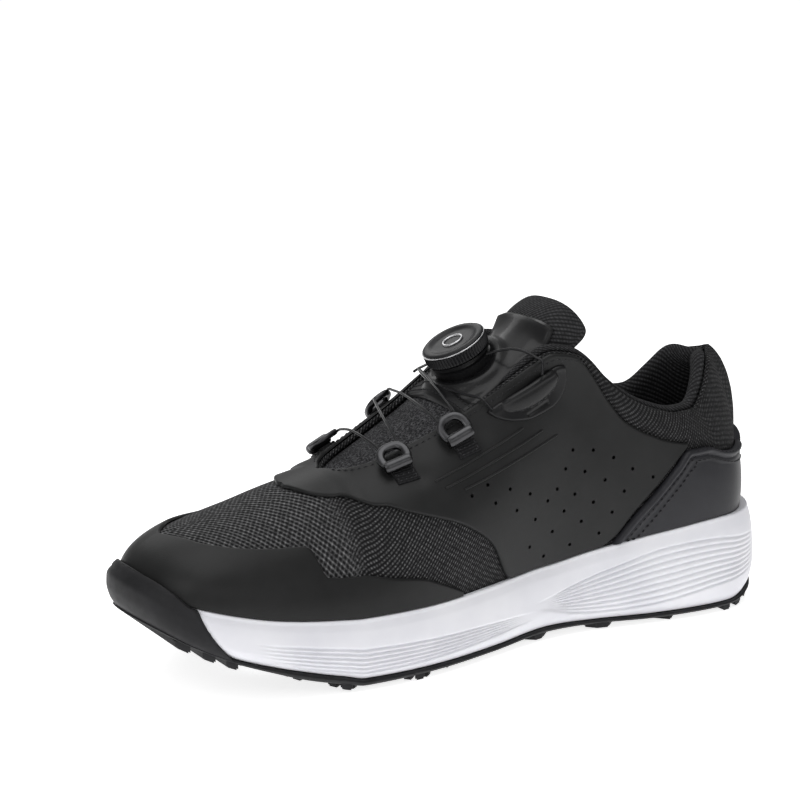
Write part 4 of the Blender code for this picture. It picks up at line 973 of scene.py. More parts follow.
def woven(name, dark, light, pitch, lean, depth, shine=0.8):
    """Close slanting ribs, as on a collar's binding and lining."""
    made = Wiring(name, dark, shine)
    along, down = made.cloth()
    run = made.sum(along, lean, down, 1.0 - abs(lean) * 0.5)
    cross = made.sum(along, 1.0, down, -lean)
    dashes = made.span(made.wave(cross, pitch * 1.4), 0.0, 0.7, 0.45, 1.0)
    ribs = made.times(made.wave(run, pitch), dashes)
    speck = made.span(made.noise(0.0012, 2.0), 0.3, 0.7, 0.4, 1.2)
    made.colour(made.times(ribs, speck, clamp=True), dark, light)
    return made.finish(made.bump(ribs, depth, 0.9))


def boucle():
    made = Wiring("boucle", (0.02, 0.02, 0.022), 0.95)
    loops = made.cells(0.0011)
    speck = made.noise(0.0007, 3.0)
    share = made.times(made.span(loops, 0.15, 0.62), made.span(speck, 0.35, 0.66), clamp=True)
    made.colour(share, (0.007, 0.007, 0.008), (0.10, 0.10, 0.105))
    return made.finish(made.bump(loops, 0.00045, 0.9))


def plastic(name, dark, low, high, coat=0.0):
    made = Wiring(name, dark, low, coat=coat, coat_roughness=0.08)
    slow = made.noise(0.010, 3.0)
    made.colour(made.span(slow, 0.3, 0.7), dark, tuple(1.35 * part for part in dark))
    made.rough(slow, low, high)
    return made.finish(made.bump(made.noise(0.0006, 2.0), 0.00002, 0.5))


def metal(name, colour, low, high):
    made = Wiring(name, colour, low, metallic=1.0)
    fine = made.noise(0.0012, 4.0)
    made.colour(made.span(made.noise(0.006, 3.0), 0.3, 0.7), tuple(0.8 * part for part in colour), colour)
    made.rough(fine, low, high)
    return made.finish(made.bump(fine, 0.00003, 0.5))


RUBBER = rubber()
FOAM = foam()
KNIT = knit()
BOUCLE = boucle()
LEATHER = leather_like("leather", (0.0085, 0.0087, 0.0088), (0.0130, 0.0132, 0.0134), 0.40, 0.58, coat=0.06)
COUNTER_LEATHER = leather_like("counter", (0.016, 0.016, 0.019), (0.023, 0.023, 0.027), 0.38, 0.54, coat=0.06)
BINDING = woven("binding", (0.006, 0.006, 0.0065), (0.055, 0.055, 0.058), 0.0014, 0.65, 0.00030)
WEBBING = woven("webbing", (0.005, 0.005, 0.0055), (0.022, 0.022, 0.024), 0.0011, 0.00, 0.00025)
GLOSS = plastic("gloss", (0.006, 0.006, 0.0065), 0.34, 0.46, coat=0.12)
PLASTIC = plastic("plastic", (0.010, 0.010, 0.011), 0.30, 0.46)
WIRE = plastic("wire", (0.010, 0.010, 0.011), 0.26, 0.40, coat=0.1)
RIM_WHITE = plastic("rim_white", (0.58, 0.58, 0.60), 0.40, 0.55)
METAL = metal("gunmetal", (0.075, 0.075, 0.078), 0.26, 0.40)
SILVER = metal("silver", (0.62, 0.62, 0.63), 0.20, 0.34)
THREAD = woven("thread", (0.012, 0.012, 0.013), (0.050, 0.050, 0.053), 0.0008, 0.5, 0.00010)


# Mesh helpers


def metric(points):
    """Metric coordinates of a grid: down its rows, and along its columns."""
    rows = np.r_[0, np.cumsum(np.linalg.norm(np.diff(points, axis=0), axis=-1).mean(axis=1))]
    columns = np.r_[0, np.cumsum(np.linalg.norm(np.diff(points, axis=1), axis=-1).mean(axis=0))]
    return np.stack(np.meshgrid(rows, columns, indexing="ij"), axis=-1)


def mesh_of(name, grids):
    """Quads over grids of points with their metric coordinates; doubled points become one."""
    places = []
    flats = []
    quads = []
    first = 0
    for grid in grids:
        points, flat = grid if isinstance(grid, tuple) else (grid, metric(grid))
        rows, columns = points.shape[:2]
        index = first + np.arange(rows * columns).reshape(rows, columns)
        corners = (index[:-1, :-1], index[:-1, 1:], index[1:, 1:], index[1:, :-1])
        quads.append(np.stack(corners, axis=-1).reshape(-1, 4))
        places.append(points.reshape(-1, 3))
        flats.append(flat.reshape(-1, 2))
        first += rows * columns
    places = np.vstack(places) + SHIFT
    flats = np.vstack(flats)
    quads = np.vstack(quads)
    mesh = bpy.data.meshes.new(name)
    mesh.from_pydata(places.tolist(), [], quads.tolist())
    layer = mesh.uv_layers.new(name="cloth")
    layer.uv.foreach_set("vector", flats[quads.ravel()].ravel().astype(np.float32))
    work = bmesh.new()
    work.from_mesh(mesh)
    bmesh.ops.remove_doubles(work, verts=work.verts, dist=4e-6)
    bmesh.ops.dissolve_degenerate(work, edges=work.edges, dist=1e-6)
    bmesh.ops.recalc_face_normals(work, faces=work.faces)
    work.to_mesh(mesh)
    work.free()
    return mesh


def dress(name, shape, finish, slot, *nodes, levels=0, sharp=40):
    """Puts a piece, given as its data or its grids, on the shoe with its material and hides what it replaces.
    The slot is not used."""
    mesh = mesh_of(name, shape) if isinstance(shape, list) else shape
    piece = bpy.data.objects.new(name, mesh)
    bpy.context.scene.collection.objects.link(piece)
    if finish:
        mesh.materials.append(finish)
    if isinstance(mesh, bpy.types.Mesh):
        mesh.shade_smooth()
        mesh.set_sharp_from_angle(angle=math.radians(sharp))
    if levels:
        rounder = piece.modifiers.new("rounder", "SUBSURF")
        rounder.levels = levels
        rounder.render_levels = levels
    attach(piece, "root")
    if nodes:
        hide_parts(*nodes)
    return piece


def carve(mesh, cutter_mesh, operation):
    """A mesh cut by another one, or kept inside it."""
    cutter = bpy.data.objects.new("cutter", cutter_mesh)
    blank = bpy.data.objects.new("blank", mesh)
    for holder in (cutter, blank):
        bpy.context.scene.collection.objects.link(holder)
    cut = blank.modifiers.new("cut", "BOOLEAN")
    cut.operation = operation
    cut.solver = "EXACT"
    cut.object = cutter
    bpy.context.view_layer.update()
    graph = bpy.context.evaluated_depsgraph_get()
    made = bpy.data.meshes.new_from_object(blank.evaluated_get(graph))
    for holder in (cutter, blank):
        bpy.data.objects.remove(holder, do_unlink=True)
    return made


def fine(first, last, step):
    return np.linspace(first, last, max(2, math.ceil((last - first) / step) + 1))


def between(rows, steps):
    """More rows on a smooth curve through the given ones."""
    rows = np.asarray(rows, float)
    ends = np.concatenate([[2 * rows[0] - rows[1]], rows, [2 * rows[-1] - rows[-2]]])
    out = []
    for a, b, c, d in zip(ends, ends[1:], ends[2:], ends[3:]):
        for t in np.linspace(0, 1, steps, endpoint=False):
            bend = (2 * a - 5 * b + 4 * c - d) * t * t + (3 * b - a - 3 * c + d) * t**3
            out.append(0.5 * (2 * b + (c - a) * t + bend))
    return np.array([*out, rows[-1]])


def edge_distance(points, line):
    """Distance of each point of a grid from a line of points."""
    flat = points.reshape(-1, 3)
    start = line[:-1]
    run = line[1:] - start
    size = np.maximum((run * run).sum(axis=1), 1e-16)
    out = np.empty(len(flat))
    for first in range(0, len(flat), 3000):
        off = flat[first:first + 3000, None] - start
        share = np.clip((off * run).sum(axis=-1) / size, 0, 1)
        out[first:first + 3000] = np.linalg.norm(off - share[..., None] * run, axis=-1).min(axis=1)
    return out.reshape(points.shape[:-1])


def crease(side, way, climb):
    out = np.zeros(np.broadcast(way, climb).shape)
    for row in CREASES:
        if row[0] != side:
            continue
        _, way_at, climb_at, half_way, half_climb, lean, depth = row
        up = (climb - climb_at) / half_climb
        across = (way - way_at - lean * (climb - climb_at)) / half_way
        out += depth * np.exp(-(across**2) - up**2)
    return out * np.clip((1 - climb) * 12, 0, 1)


def surface(side, way, climb, lift):
    """The upper's skin with its creases."""
    way, climb = np.broadcast_arrays(np.asarray(way, float), np.asarray(climb, float))
    return skin(side, way, climb, lift + crease(side, way, climb))


def cloth(side, ways, points):
    """Metric coordinates on the upper: along the shoe, and down from the top edge, below zero on the
    lateral side."""
    steps = np.linalg.norm(np.diff(points, axis=0), axis=-1)
    run = np.vstack([np.zeros(points.shape[1]), np.cumsum(steps, axis=0)])
    down = run[-1] - run
    along = np.where(ways < 0.6, -points[..., 0], ways * CLOTH_RUN)
    return np.stack([along, down * (1 if side == "medial" else -1)], axis=-1)


def round_edge(distance, edge):
    return np.sqrt(1 - (1 - np.clip(distance / edge, 0, 1)) ** 2)


def cover(table, lift, thickness, free, sides=SIDES, edge=SOFT_EDGE, extra=None,
          step=FINE_WAY, rows=COVER_ROWS):
    """Grids of an overlay with rounded borders. Free names its borders: first, last, top and low."""
    ways = fine(table[0][0], table[-1][0], step)
    start = read(COVER_COLUMNS, table, "start", ways)
    stop = read(COVER_COLUMNS, table, "stop", ways)
    inner_share = np.linspace(0.05, 0.95, rows)
    share = np.r_[0, 0.004, 0.010, 0.018, 0.030, inner_share, 0.970, 0.982, 0.990, 0.996, 1][:, None]
    held = start + (stop - start) * share
    grids = []
    for side in sides:
        low = surface(side, ways, held, lift)
        floor = level("rim", sole_edge(side, ways, 0)[2]) + GAP
        near = np.full(held.shape, 1.0)
        top = low[-1][ways >= THROAT_WAY * (stop[0] > 0.9)]
        borders = {"first": low[:, 0], "last": low[:, -1], "low": low[0], "top": top}
        for border in free:
            near = np.minimum(near, edge_distance(low, borders[border]))
        near = np.minimum(near, edge_distance(low, low[0]) * 3)
        height = thickness * round_edge(near, edge)
        if extra:
            height = height + extra(ways, held, edge_distance(low, borders["top"]))
        high = surface(side, ways, held, lift + height)
        for points in (low, high):
            points[..., 2] = np.maximum(points[..., 2], floor)
            grids.append((points, cloth(side, ways, points)))
    return grids


def stitches(name, lines, pitch=STITCH_PITCH, length=STITCH_LENGTH):
    """Short threads along lines on the surface, joined in one mesh."""
    rings = 5
    sides = 6
    grids = []
    for line in lines:
        line = np.asarray(line)
        run = np.r_[0, np.cumsum(np.linalg.norm(np.diff(line, axis=0), axis=1))]
        for middle in np.arange(pitch / 2, run[-1], pitch):
            ends = [np.array([np.interp(at, run, line[:, k]) for k in range(3)])
                    for at in (middle - length / 2, middle + length / 2)]
            axis = ends[1] - ends[0]
            across = np.cross(axis, (0.3, 0.2, 1.0))
            across /= np.linalg.norm(across)
            up = np.cross(axis, across)
            up /= np.linalg.norm(up)
            turn = np.linspace(0, 2 * math.pi, sides + 1)
            around = np.outer(np.cos(turn), across) + np.outer(np.sin(turn), up)
            grid = []
            for share in np.linspace(0, 1, rings):
                full = max(math.sin(math.pi * (0.08 + 0.84 * share)), 0.2) * (share not in (0, 1))
                girth = STITCH_RADIUS * full
                grid.append(ends[0] + axis * share + around * girth)
            grids.append(np.array(grid))
    return dress(name, grids, THREAD, "lining")


def tube(name, points, radius, finish, slot, *nodes):
    curve = bpy.data.curves.new(name, "CURVE")
    curve.dimensions = "3D"
    curve.bevel_depth = radius
    curve.bevel_resolution = 3
    curve.use_fill_caps = True
    line = curve.splines.new("POLY")
    line.points.add(len(points) - 1)
    for point, place in zip(line.points, points):
        point.co = (*(np.asarray(place) + SHIFT), 1)
    return dress(name, curve, finish, slot, *nodes)


# Upper


def overlay_top(way):
    """The climb where the overlays end below the collar."""
    quarter = np.where(way < 0.81, read(COVER_COLUMNS, QUARTER, "stop", way), 0)
    return np.maximum(quarter, read(COVER_COLUMNS, COUNTER, "stop", way))


def puff(ways, climb):
    """The padded knit zone round the collar stands out between the overlays and the collar's top."""
    start = overlay_top(ways)
    share = np.clip((climb - start) / np.maximum(1 - start, 0.05), 0, 1)
    return PUFF * np.sin(math.pi * share) ** 0.7 * np.clip((ways - 0.665) / 0.04, 0, 1)


def make_upper():
    grids = []
    ways = fine(0, 1, FINE_WAY * 1.1)
    climbs = np.linspace(0, 1, 44)[:, None]
    for side in SIDES:
        along = sole_edge(side, ways, 0)[2]
        bed = level("bed", along) + GAP
        walls = []
        for depth in (0, UPPER_WALL):
            x, y, _, _, _ = sole_edge(side, ways, rib_inset(ways) + CUP_DRAFT + depth)
            foot = np.column_stack([x, y, bed])[None]
            lift = puff(ways, climbs) if depth == 0 else np.full((len(climbs), len(ways)), -UPPER_WALL)
            points = np.concatenate([foot, surface(side, ways, climbs, lift)])
            walls.append(points)
            grids.append((points, cloth(side, ways, points)))
        grids.append(np.array([walls[0][0], walls[1][0]]))
        open_top = ways >= 0.318
        rim = [walls[0][-1][open_top], walls[1][-1][open_top]]
        up = rim[0] - walls[0][-2][open_top]
        up /= np.linalg.norm(up, axis=-1)[:, None]
        edge = [rim[0] + (rim[1] - rim[0]) * s + up * RIM_ROLL * math.sin(math.pi * s)
                for s in (0, 0.2, 0.5, 0.8, 1)]
        grids.append(np.array(edge))
    dress("knit_upper", grids, KNIT, "knit", "upper")


def piping(ways, held, distance):
    """A padded ridge along the counter's top edge, with a faint second one inside it."""
    first = PIPING_HEIGHT * np.sin(math.pi * np.clip(distance / PIPING_WIDTH, 0, 1)) ** 0.8
    second = 0.0002 * np.sin(math.pi * np.clip((distance - PIPING_WIDTH) / (PIPING_WIDTH * 0.8), 0, 1))
    return first + second


def punch(mesh):
    """The quarter's mesh with its punched holes."""
    work = bmesh.new()
    for side in SIDES:
        for way, climb, last_way, last_climb, count in PUNCHES:
            for share in np.linspace(0, 1, count):
                at_way = way + (last_way - way) * share
                at_climb = climb + (last_climb - climb) * share
                low = skin(side, at_way, at_climb, -0.001)
                high = skin(side, at_way, at_climb, 0.004)
                turn = Vector((0, 0, 1)).rotation_difference(Vector(high - low)).to_matrix().to_4x4()
                move = Matrix.Translation(Vector((low + high) / 2 + SHIFT)) @ turn
                bmesh.ops.create_cone(work, cap_ends=True, segments=14, radius1=HOLE_RADIUS,
                                      radius2=HOLE_RADIUS, depth=HOLE_LENGTH, matrix=move)
    punches = bpy.data.meshes.new("punches")
    work.to_mesh(punches)
    work.free()
    return carve(mesh, punches, "DIFFERENCE")


def make_overlays():
    dress("toe_cap_skin", cover(TOE_CAP, SEAM, OVERLAY, ("top", "last")), LEATHER, "leather", "toe_cap")
    quarter = mesh_of("quarter_skin", cover(QUARTER, SEAM, OVERLAY, BORDERS, rows=42))
    dress("quarter_skin", punch(quarter), LEATHER, "leather", "quarter_panel")
    counter = cover(COUNTER, SEAM, OVERLAY, ("top", "first"), extra=piping, step=0.0025, rows=64)
    dress("counter_skin", counter, COUNTER_LEATHER, "leather", "heel_counter")


def on_skin(side, ways, climbs, lift):
    return surface(side, np.asarray(ways), np.asarray(climbs), np.full(len(ways), lift))


def make_seams():
    top = SEAM + OVERLAY
    rows = []
    throat = []
    for side in SIDES:
        ways = fine(0.700, 1.0, 0.002)
        stop = read(COVER_COLUMNS, COUNTER, "stop", ways)
        for off, lift in ((0.020, top + 0.0011), (0.062, top + 0.00025), (0.112, top + 0.0003)):
            rows.append(on_skin(side, ways, np.maximum(stop - off * (1 + 0.5 * (ways < 0.81)), 0.01), lift))
        ways = fine(0.335, 0.665, 0.002)
        throat.append(on_skin(side, ways, np.full(len(ways), 0.968), top + 0.00005))
    stitches("counter_stitches", rows)
    stitches("throat_stitches", throat)
    for side in SIDES:
        for number, corners in enumerate(LINES):
            places = between(np.array(corners), 24)
            points = on_skin(side, places[:, 0], places[:, 1], top + 0.00005)
            tube(f"moulded_line_{side}_{number + 1}", points, SEAM_TUBE, LEATHER, "leather")


# Collar and tongue


def loops_mesh(name, loops):
    """A closed body through loops of points, with rungs across its first and last loop."""
    loops = np.array(loops)
    half = loops.shape[1] // 2
    grids = [np.concatenate([loops, loops[:, :1]], axis=1)]
    for end in (loops[0], loops[-1]):
        grids.append(np.stack([end[:half], end[:half - 1:-1]], axis=1))
    return mesh_of(name, grids)


def make_collar():
    ways = fine(COLLAR[0][0], 1.0, COLLAR_WAY)
    loops = [collar_loop("medial", way) for way in ways]
    loops += [collar_loop("lateral", way) for way in ways[-2::-1]]
    mesh = loops_mesh("collar_pad", loops)
    collar = dress("collar_pad", mesh, BINDING, "lining", "collar", levels=2, sharp=80)


def make_tongue():
    rows = [tongue_row(way) for way in TONGUE_WAYS]
    tip = tongue_tip_rows()
    loops = [list(high) + list(low)[::-1] for high, low in rows + tip]
    mesh = loops_mesh("tongue_pad", loops)
    mesh.materials.append(BOUCLE)
    mesh.materials.append(BINDING)
    edge = tongue_middle(0.60)[0] + SHIFT[0]
    for face in mesh.polygons:
        face.material_index = int(face.center.x < edge)
    tongue = dress("tongue_pad", mesh, None, "lining", "tongue", levels=2, sharp=80)


def dial_distance(points):
    """Distance of points from the dial's axis."""
    turn = dial_frame().inverted()
    flat = points.reshape(-1, 3)
    local = np.array([list(turn @ Vector(point)) for point in flat])
    return np.hypot(local[:, 0], local[:, 1]).reshape(points.shape[:-1])


def make_saddle():
    rows = [tongue_row(way)[0] for way in SADDLE_WAYS] + [tongue_tip_rows()[0][0]]
    picked = np.array(rows)[:, len(FLANK) - 1:1 - len(FLANK)]
    picked = between(picked, 9)
    picked = between(picked.transpose(1, 0, 2), 8).transpose(1, 0, 2)
    normal = np.cross(np.gradient(picked, axis=1), np.gradient(picked, axis=0))
    normal /= np.linalg.norm(normal, axis=-1)[..., None]
    normal *= np.sign(normal[..., 2:3])
    away = dial_distance(picked)
    near = np.full(away.shape, 1.0)
    for line in (picked[0], picked[-1], picked[:, 0], picked[:, -1]):
        near = np.minimum(near, edge_distance(picked, line))
    rim = SEAT_RIM * np.exp(-(((away - SEAT_RADIUS) / 0.0030) ** 2))
    bulge = rim + 0.0008 * (away < 0.012)
    height = (SADDLE_SKIN + bulge) * round_edge(near, SADDLE_EDGE)
    low = picked + normal * (SEAM - GAP)
    high = low + normal * height[..., None]
    dress("saddle_skin", [low, high], GLOSS, "gloss", "dial_saddle")
    lines = [high[row, 2:-2] + normal[row, 2:-2] * HAIR for row in (3, 6)]
    stitches("saddle_stitches", lines, pitch=0.0022)


# Dial


def turned(name, profile, finish, slot, *nodes, teeth=0, sharp=32):
    """A body turned about the dial's axis. A profile's row has a radius, a height and how deep its teeth
    are."""
    place = dial_frame()
    turn = np.linspace(0, 2 * math.pi, KNOB_STEPS + 1)
    wave = 0.5 - 0.5 * np.cos(turn * max(teeth, 1))
    grid = []
    for radius, height, depth in profile:
        reach = radius - depth * wave**0.6
        ring = [place @ Vector((r * math.cos(a), r * math.sin(a), height)) for r, a in zip(reach, turn)]
        grid.append(ring)
    return dress(name, [np.array(grid)], finish, slot, *nodes, sharp=sharp)


def make_dial():
    r = DIAL_RADIUS
    low = BASE_HEIGHT + GAP
    top = low + DIAL_HEIGHT
    turned("dial_foot", (
        (0, -0.0040, 0),
        (r - 0.0018, -0.0040, 0),
        (r - 0.0012, 0.0008, 0),
        (r - 0.0009, 0.0024, 0),
        (r - 0.0022, 0.0030, 0),
        (r - 0.0022, 0.0036, 0),
        (r - 0.0007, 0.0041, 0),
        (r - 0.0006, BASE_HEIGHT, 0),
        (r - 0.0040, BASE_HEIGHT, 0),
        (0, BASE_HEIGHT, 0),
    ), GLOSS, "plastic", "dial_base", sharp=50)
    turned("dial_cap", (
        (0, low, 0),
        (r - 0.0010, low, 0),
        (r - 0.0003, low + 0.0004, 0),
        (r - 0.0001, low + 0.0009, 0.00045),
        (r, low + 0.0012, 0.00060),
        (r, top - 0.0022, 0.00060),
        (r - 0.0001, top - 0.0017, 0.00030),
        (r - 0.0002, top - 0.0015, 0),
        (r - 0.0004, top - 0.0007, 0),
        (r - 0.0012, top - 0.0001, 0),
        (r - 0.0022, top, 0),
        (r - 0.0034, top - 0.0001, 0),
        (r - 0.0040, top - 0.0006, 0),
        (r - 0.0060, top - 0.0008, 0),
        (0, top - 0.0005, 0),
    ), PLASTIC, "plastic", "dial_knob", teeth=KNOB_TEETH, sharp=50)
    for name, radius, height, width in (("dial_line", r - 0.0002, top - 0.0011, 0.00026),
                                        ("dial_ring", 0.0040, top - 0.00050, 0.00050)):
        turn = np.linspace(0, 2 * math.pi, 13)
        section = [(radius + width * math.cos(a), height + width * math.sin(a), 0) for a in turn]
        turned(name, section, SILVER, "metal")


# Guides and lace


def guide_axes(side, along):
    """A guide's origin with its directions: forwards, towards the throat, and out of the surface."""
    place = guide_frame(side, along)
    turn = place.to_3x3()
    across = turn @ Vector((0, 1, 0))
    if across.y * (1 if side == "lateral" else -1) < 0:
        across = -across
    return np.array(place.translation), np.array(turn.col[0]), np.array(across), np.array(turn.col[2])


def squarer(value, power):
    """A power that keeps the sign, which turns a round outline into a squarer one."""
    return abs(value) ** power * math.copysign(1, value)


def ring_path():
    """The D of a guide: flat at the webbing, round towards the throat."""
    half_x = GUIDE_LENGTH / 2 - 0.0014
    half_y = GUIDE_WIDTH / 2 - 0.0014
    points = []
    for a in np.linspace(0, 2 * math.pi, 48, endpoint=False):
        power = 2.6 if math.sin(a) > 0 else 5.0
        c = squarer(math.cos(a), 2 / power)
        s = squarer(math.sin(a), 2 / power)
        points.append((half_x * c * (1 if s < 0 else 1 - 0.16 * s), half_y * s))
    return np.array(points)


def make_guides():
    path = ring_path()
    ahead = np.roll(path, -1, axis=0) - np.roll(path, 1, axis=0)
    out = np.column_stack([ahead[:, 1], -ahead[:, 0]])
    out /= np.linalg.norm(out, axis=1)[:, None]
    turn = np.linspace(0, 2 * math.pi, 17)
    threads = []
    for (side, number), along in LOOP_PLACES.items():
        origin, x, y, z = guide_axes(side, along)
        grid = []
        for (px, py), (nx, ny) in zip([*path, path[0]], [*out, out[0]]):
            ring = []
            for a in turn:
                c = squarer(math.cos(a), 0.7) * 0.00165
                s = squarer(math.sin(a), 0.7) * 0.00125
                ring.append(origin + x * (px + nx * c) + y * (py + ny * c) + z * (0.0013 + s))
            grid.append(ring)
        name = f"{side}_{number}"
        dress(f"d_ring_{name}", [np.array(grid)], METAL, "metal", f"guide_{name}")
        way = way_of(along)
        table = tuple((way + off, TAB_LOW, TAB_TOP) for off in (-TAB_HALF, -0.005, 0.005, TAB_HALF))
        lift = SEAM + OVERLAY + HAIR
        patch = cover(table, lift, TAB_THICKNESS, BORDERS, sides=(side,), edge=0.0006, step=0.0012, rows=20)
        dress(f"tab_skin_{name}", patch, WEBBING, "lining", f"tab_{name}")
        bar = []
        for share in np.linspace(-1, 1, 15):
            girth = 0.0023 * (1 - abs(share) ** 10) ** 0.5
            centre = origin + x * share * 0.0062 + y * (-GUIDE_WIDTH / 2 + 0.0008) + z * 0.0009
            bar.append([centre + y * girth * 1.1 * math.cos(a) + z * girth * math.sin(a) for a in turn])
        dress(f"tab_fold_{name}", [np.array(bar)], METAL, "metal")
        high = lift + TAB_THICKNESS
        for off in (-TAB_SEAM, TAB_SEAM):
            climbs = np.linspace(TAB_STITCHES[0], 0.87, 14)
            threads.append(on_skin(side, np.full(14, way + off), climbs, high))
        for climb in TAB_STITCHES:
            across = np.linspace(way - TAB_SEAM, way + TAB_SEAM, 14)
            threads.append(on_skin(side, across, np.full(14, climb), high))
    stitches("tab_stitches", threads, pitch=0.0021, length=0.0015)


def make_top_guides():
    def domed(ways, held, distance):
        u = (ways - 0.588) / 0.050
        v = (held - 0.765) / 0.175
        dome = np.clip(1 - (u / 0.70) ** 2 - ((v - 0.78) / 0.42) ** 2, 0, 1)
        slot = np.exp(-(((v - 0.22) / 0.05) ** 2)) * (np.abs(u + 0.1) < 0.28)
        lip = np.exp(-(((distance - 0.0014) / 0.0008) ** 2))
        return 0.0030 * dome**0.55 - 0.0006 * slot + 0.0003 * lip

    for side in SIDES:
        grids = cover(HALF_MOON, SEAM + OVERLAY + HAIR, 0.0011, BORDERS, sides=(side,), edge=0.0008,
                      extra=domed, step=0.0015, rows=40)
        dress(f"crescent_{side}", grids, GLOSS, "gloss", f"top_guide_{side}")


def make_lace():
    """The wire runs from guide to guide, turns inside each one, and goes on to the hook, the top guide
    and the dial."""
    hook = over_edge("lateral", HOOK_PLACE)
    low_end = over_edge("medial", TOP_GUIDE_LOW)
    high_end = over_edge("medial", TOP_GUIDE_HIGH)
    turns = []
    for side, number in (("lateral", 1), ("medial", 1), ("lateral", 2), ("medial", 2)):
        mouth = np.array(guide_mouth(side, number))
        _, x, y, _ = guide_axes(side, LOOP_PLACES[side, number])
        inside = mouth - y * 0.0034
        turns.append([mouth + x * 0.0040, inside + x * 0.0030, inside - x * 0.0030, mouth - x * 0.0040])
    points = [turns[0][1], turns[0][2], turns[0][3]]
    stops = [*turns[1:], [np.array(hook)]]
    for group in stops:
        start = Vector(points[-1])
        end = Vector(group[0])
        points += [np.array(arched(start, end, share, BAR_BOW)) for share in np.linspace(0, 1, 8)[1:-1]]
        points += group
    hook_at = Vector(points[-1])
    points += [np.array(arched(hook_at, low_end, share, HOOK_BOW)) for share in np.linspace(0, 1, 8)[1:]]
    side_in = np.array(low_end) + np.array([-0.0030, 0.0030, -0.0042])
    points.append(side_in)
    tube("lace_wire", between(np.array(points), 5), LACE_RADIUS, WIRE, "plastic", "lace_zigzag")
    place = dial_frame()
    exits = [place @ Vector((x * EXIT_REACH * 0.9, y * EXIT_REACH * 0.9, EXIT_HEIGHT)) for x, y in EXIT_WAYS]
    path = [np.array(arched(exits[0], high_end, share, DIAL_BOW)) for share in np.linspace(0, 1, 9)]
    path.append(np.array(high_end) + np.array([0.0020, 0.0030, -0.0046]))
    tube("dial_wire_medial", between(np.array(path), 5), LACE_RADIUS, WIRE, "plastic", "lace_dial_medial")
    path = [np.array(exits[1].lerp(hook, share)) for share in np.linspace(0, 1, 6)]
    path.append(np.array(hook) + np.array([0.0010, -0.0022, -0.0016]))
    tube("dial_wire_lateral", between(np.array(path), 5), LACE_RADIUS, WIRE, "plastic", "lace_dial_lateral")


# Sole


def side_ring(height, inset, ways):
    """Both sides of a ring round the sole from the medial toe to the heel and back, closed at the toe."""
    out = []
    for side in SIDES:
        x, y, _, _, _ = sole_edge(side, ways, inset[side])
        out.append(np.column_stack([x, y, height[side]]))
    return np.vstack([out[0], out[1][::-1]])


def carved(share, along, high):
    """Depth of the fine lines at shares of the side's height."""
    cut = np.zeros(len(along))
    for fan, count in ((HEEL_FAN, HEEL_LINES), (FORE_FAN, FORE_LINES)):
        depth = read(FAN_COLUMNS, fan, "depth", along) * (along >= fan[0][0]) * (along <= fan[-1][0])
        middle = read(FAN_COLUMNS, fan, "middle", along)
        spread = read(FAN_COLUMNS, fan, "spread", along)
        for i in range(count):
            at = middle + (i / (count - 1) - 0.5) * spread
            cut = np.maximum(cut, depth * np.exp(-(((share - at) * high / GROOVE_WIDTH) ** 2)))
    return GROOVE_CUT * cut


def bumper_end(share):
    return BUMPER_FOOT + (BUMPER_TOP - BUMPER_FOOT) * np.clip(share, 0, 1) ** 0.6


def tucked(ways, along, height):
    """How far the midsole's side steps back to lie behind the toe bumper."""
    low = ground(along) + LUG_HEIGHT + GAP
    share = (height - low) / (bumper_top(along) - low)
    return TUCK * np.clip((bumper_end(share) - ways) / 0.006 + 0.3, 0, 1) * (share < 1.05)


def make_midsole():
    ways = fine(0, 1, SIDE_WAY)
    loops = []

    def add(place, extra, tuck=True):
        height = {}
        inset = {}
        for side in SIDES:
            along = sole_edge(side, ways, 0)[2]
            height[side], inset[side] = place(side, along)
            if tuck:
                inset[side] = inset[side] + tucked(ways, along, height[side])
            inset[side] = inset[side] + extra
        loops.append(side_ring(height, inset, ways))

    def low(side, along):
        return level("plate", along) + GAP, np.full(len(along), midsole_inset(0.0))

    add(low, RING_WIDTH, tuck=False)
    for share in np.linspace(0, 1, SIDE_ROWS):

        def side_place(side, along, share=share):
            bottom = level("plate", along) + GAP
            high = level("rim", along) - RIM_TOP - bottom
            return bottom + share * high, midsole_inset(share) + carved(share, along, high)

        add(side_place, 0.0)
    for turn in np.linspace(0.2, 1, 5) * math.pi / 2:

        def rim_place(side, along, turn=turn):
            height = level("rim", along) - RIM_TOP * (1 - math.sin(turn))
            return height, np.full(len(along), midsole_inset(1.0) + RIM_TOP * 0.6 * (1 - math.cos(turn)))

        add(rim_place, 0.0)
    add(lambda side, along: (level("rim", along), rib_inset(ways) - GAP), 0.0, tuck=False)
    add(lambda side, along: (level("bed", along), rib_inset(ways) - GAP + CUP_DRAFT), 0.0, tuck=False)

    def bed(side, along):
        return level("bed", along), np.full(len(along), midsole_inset(0.0))

    add(bed, RING_WIDTH, tuck=False)
    loops.append(loops[0])
    dress("midsole_foam", [np.array(loops)], FOAM, "foam", "midsole", sharp=60)


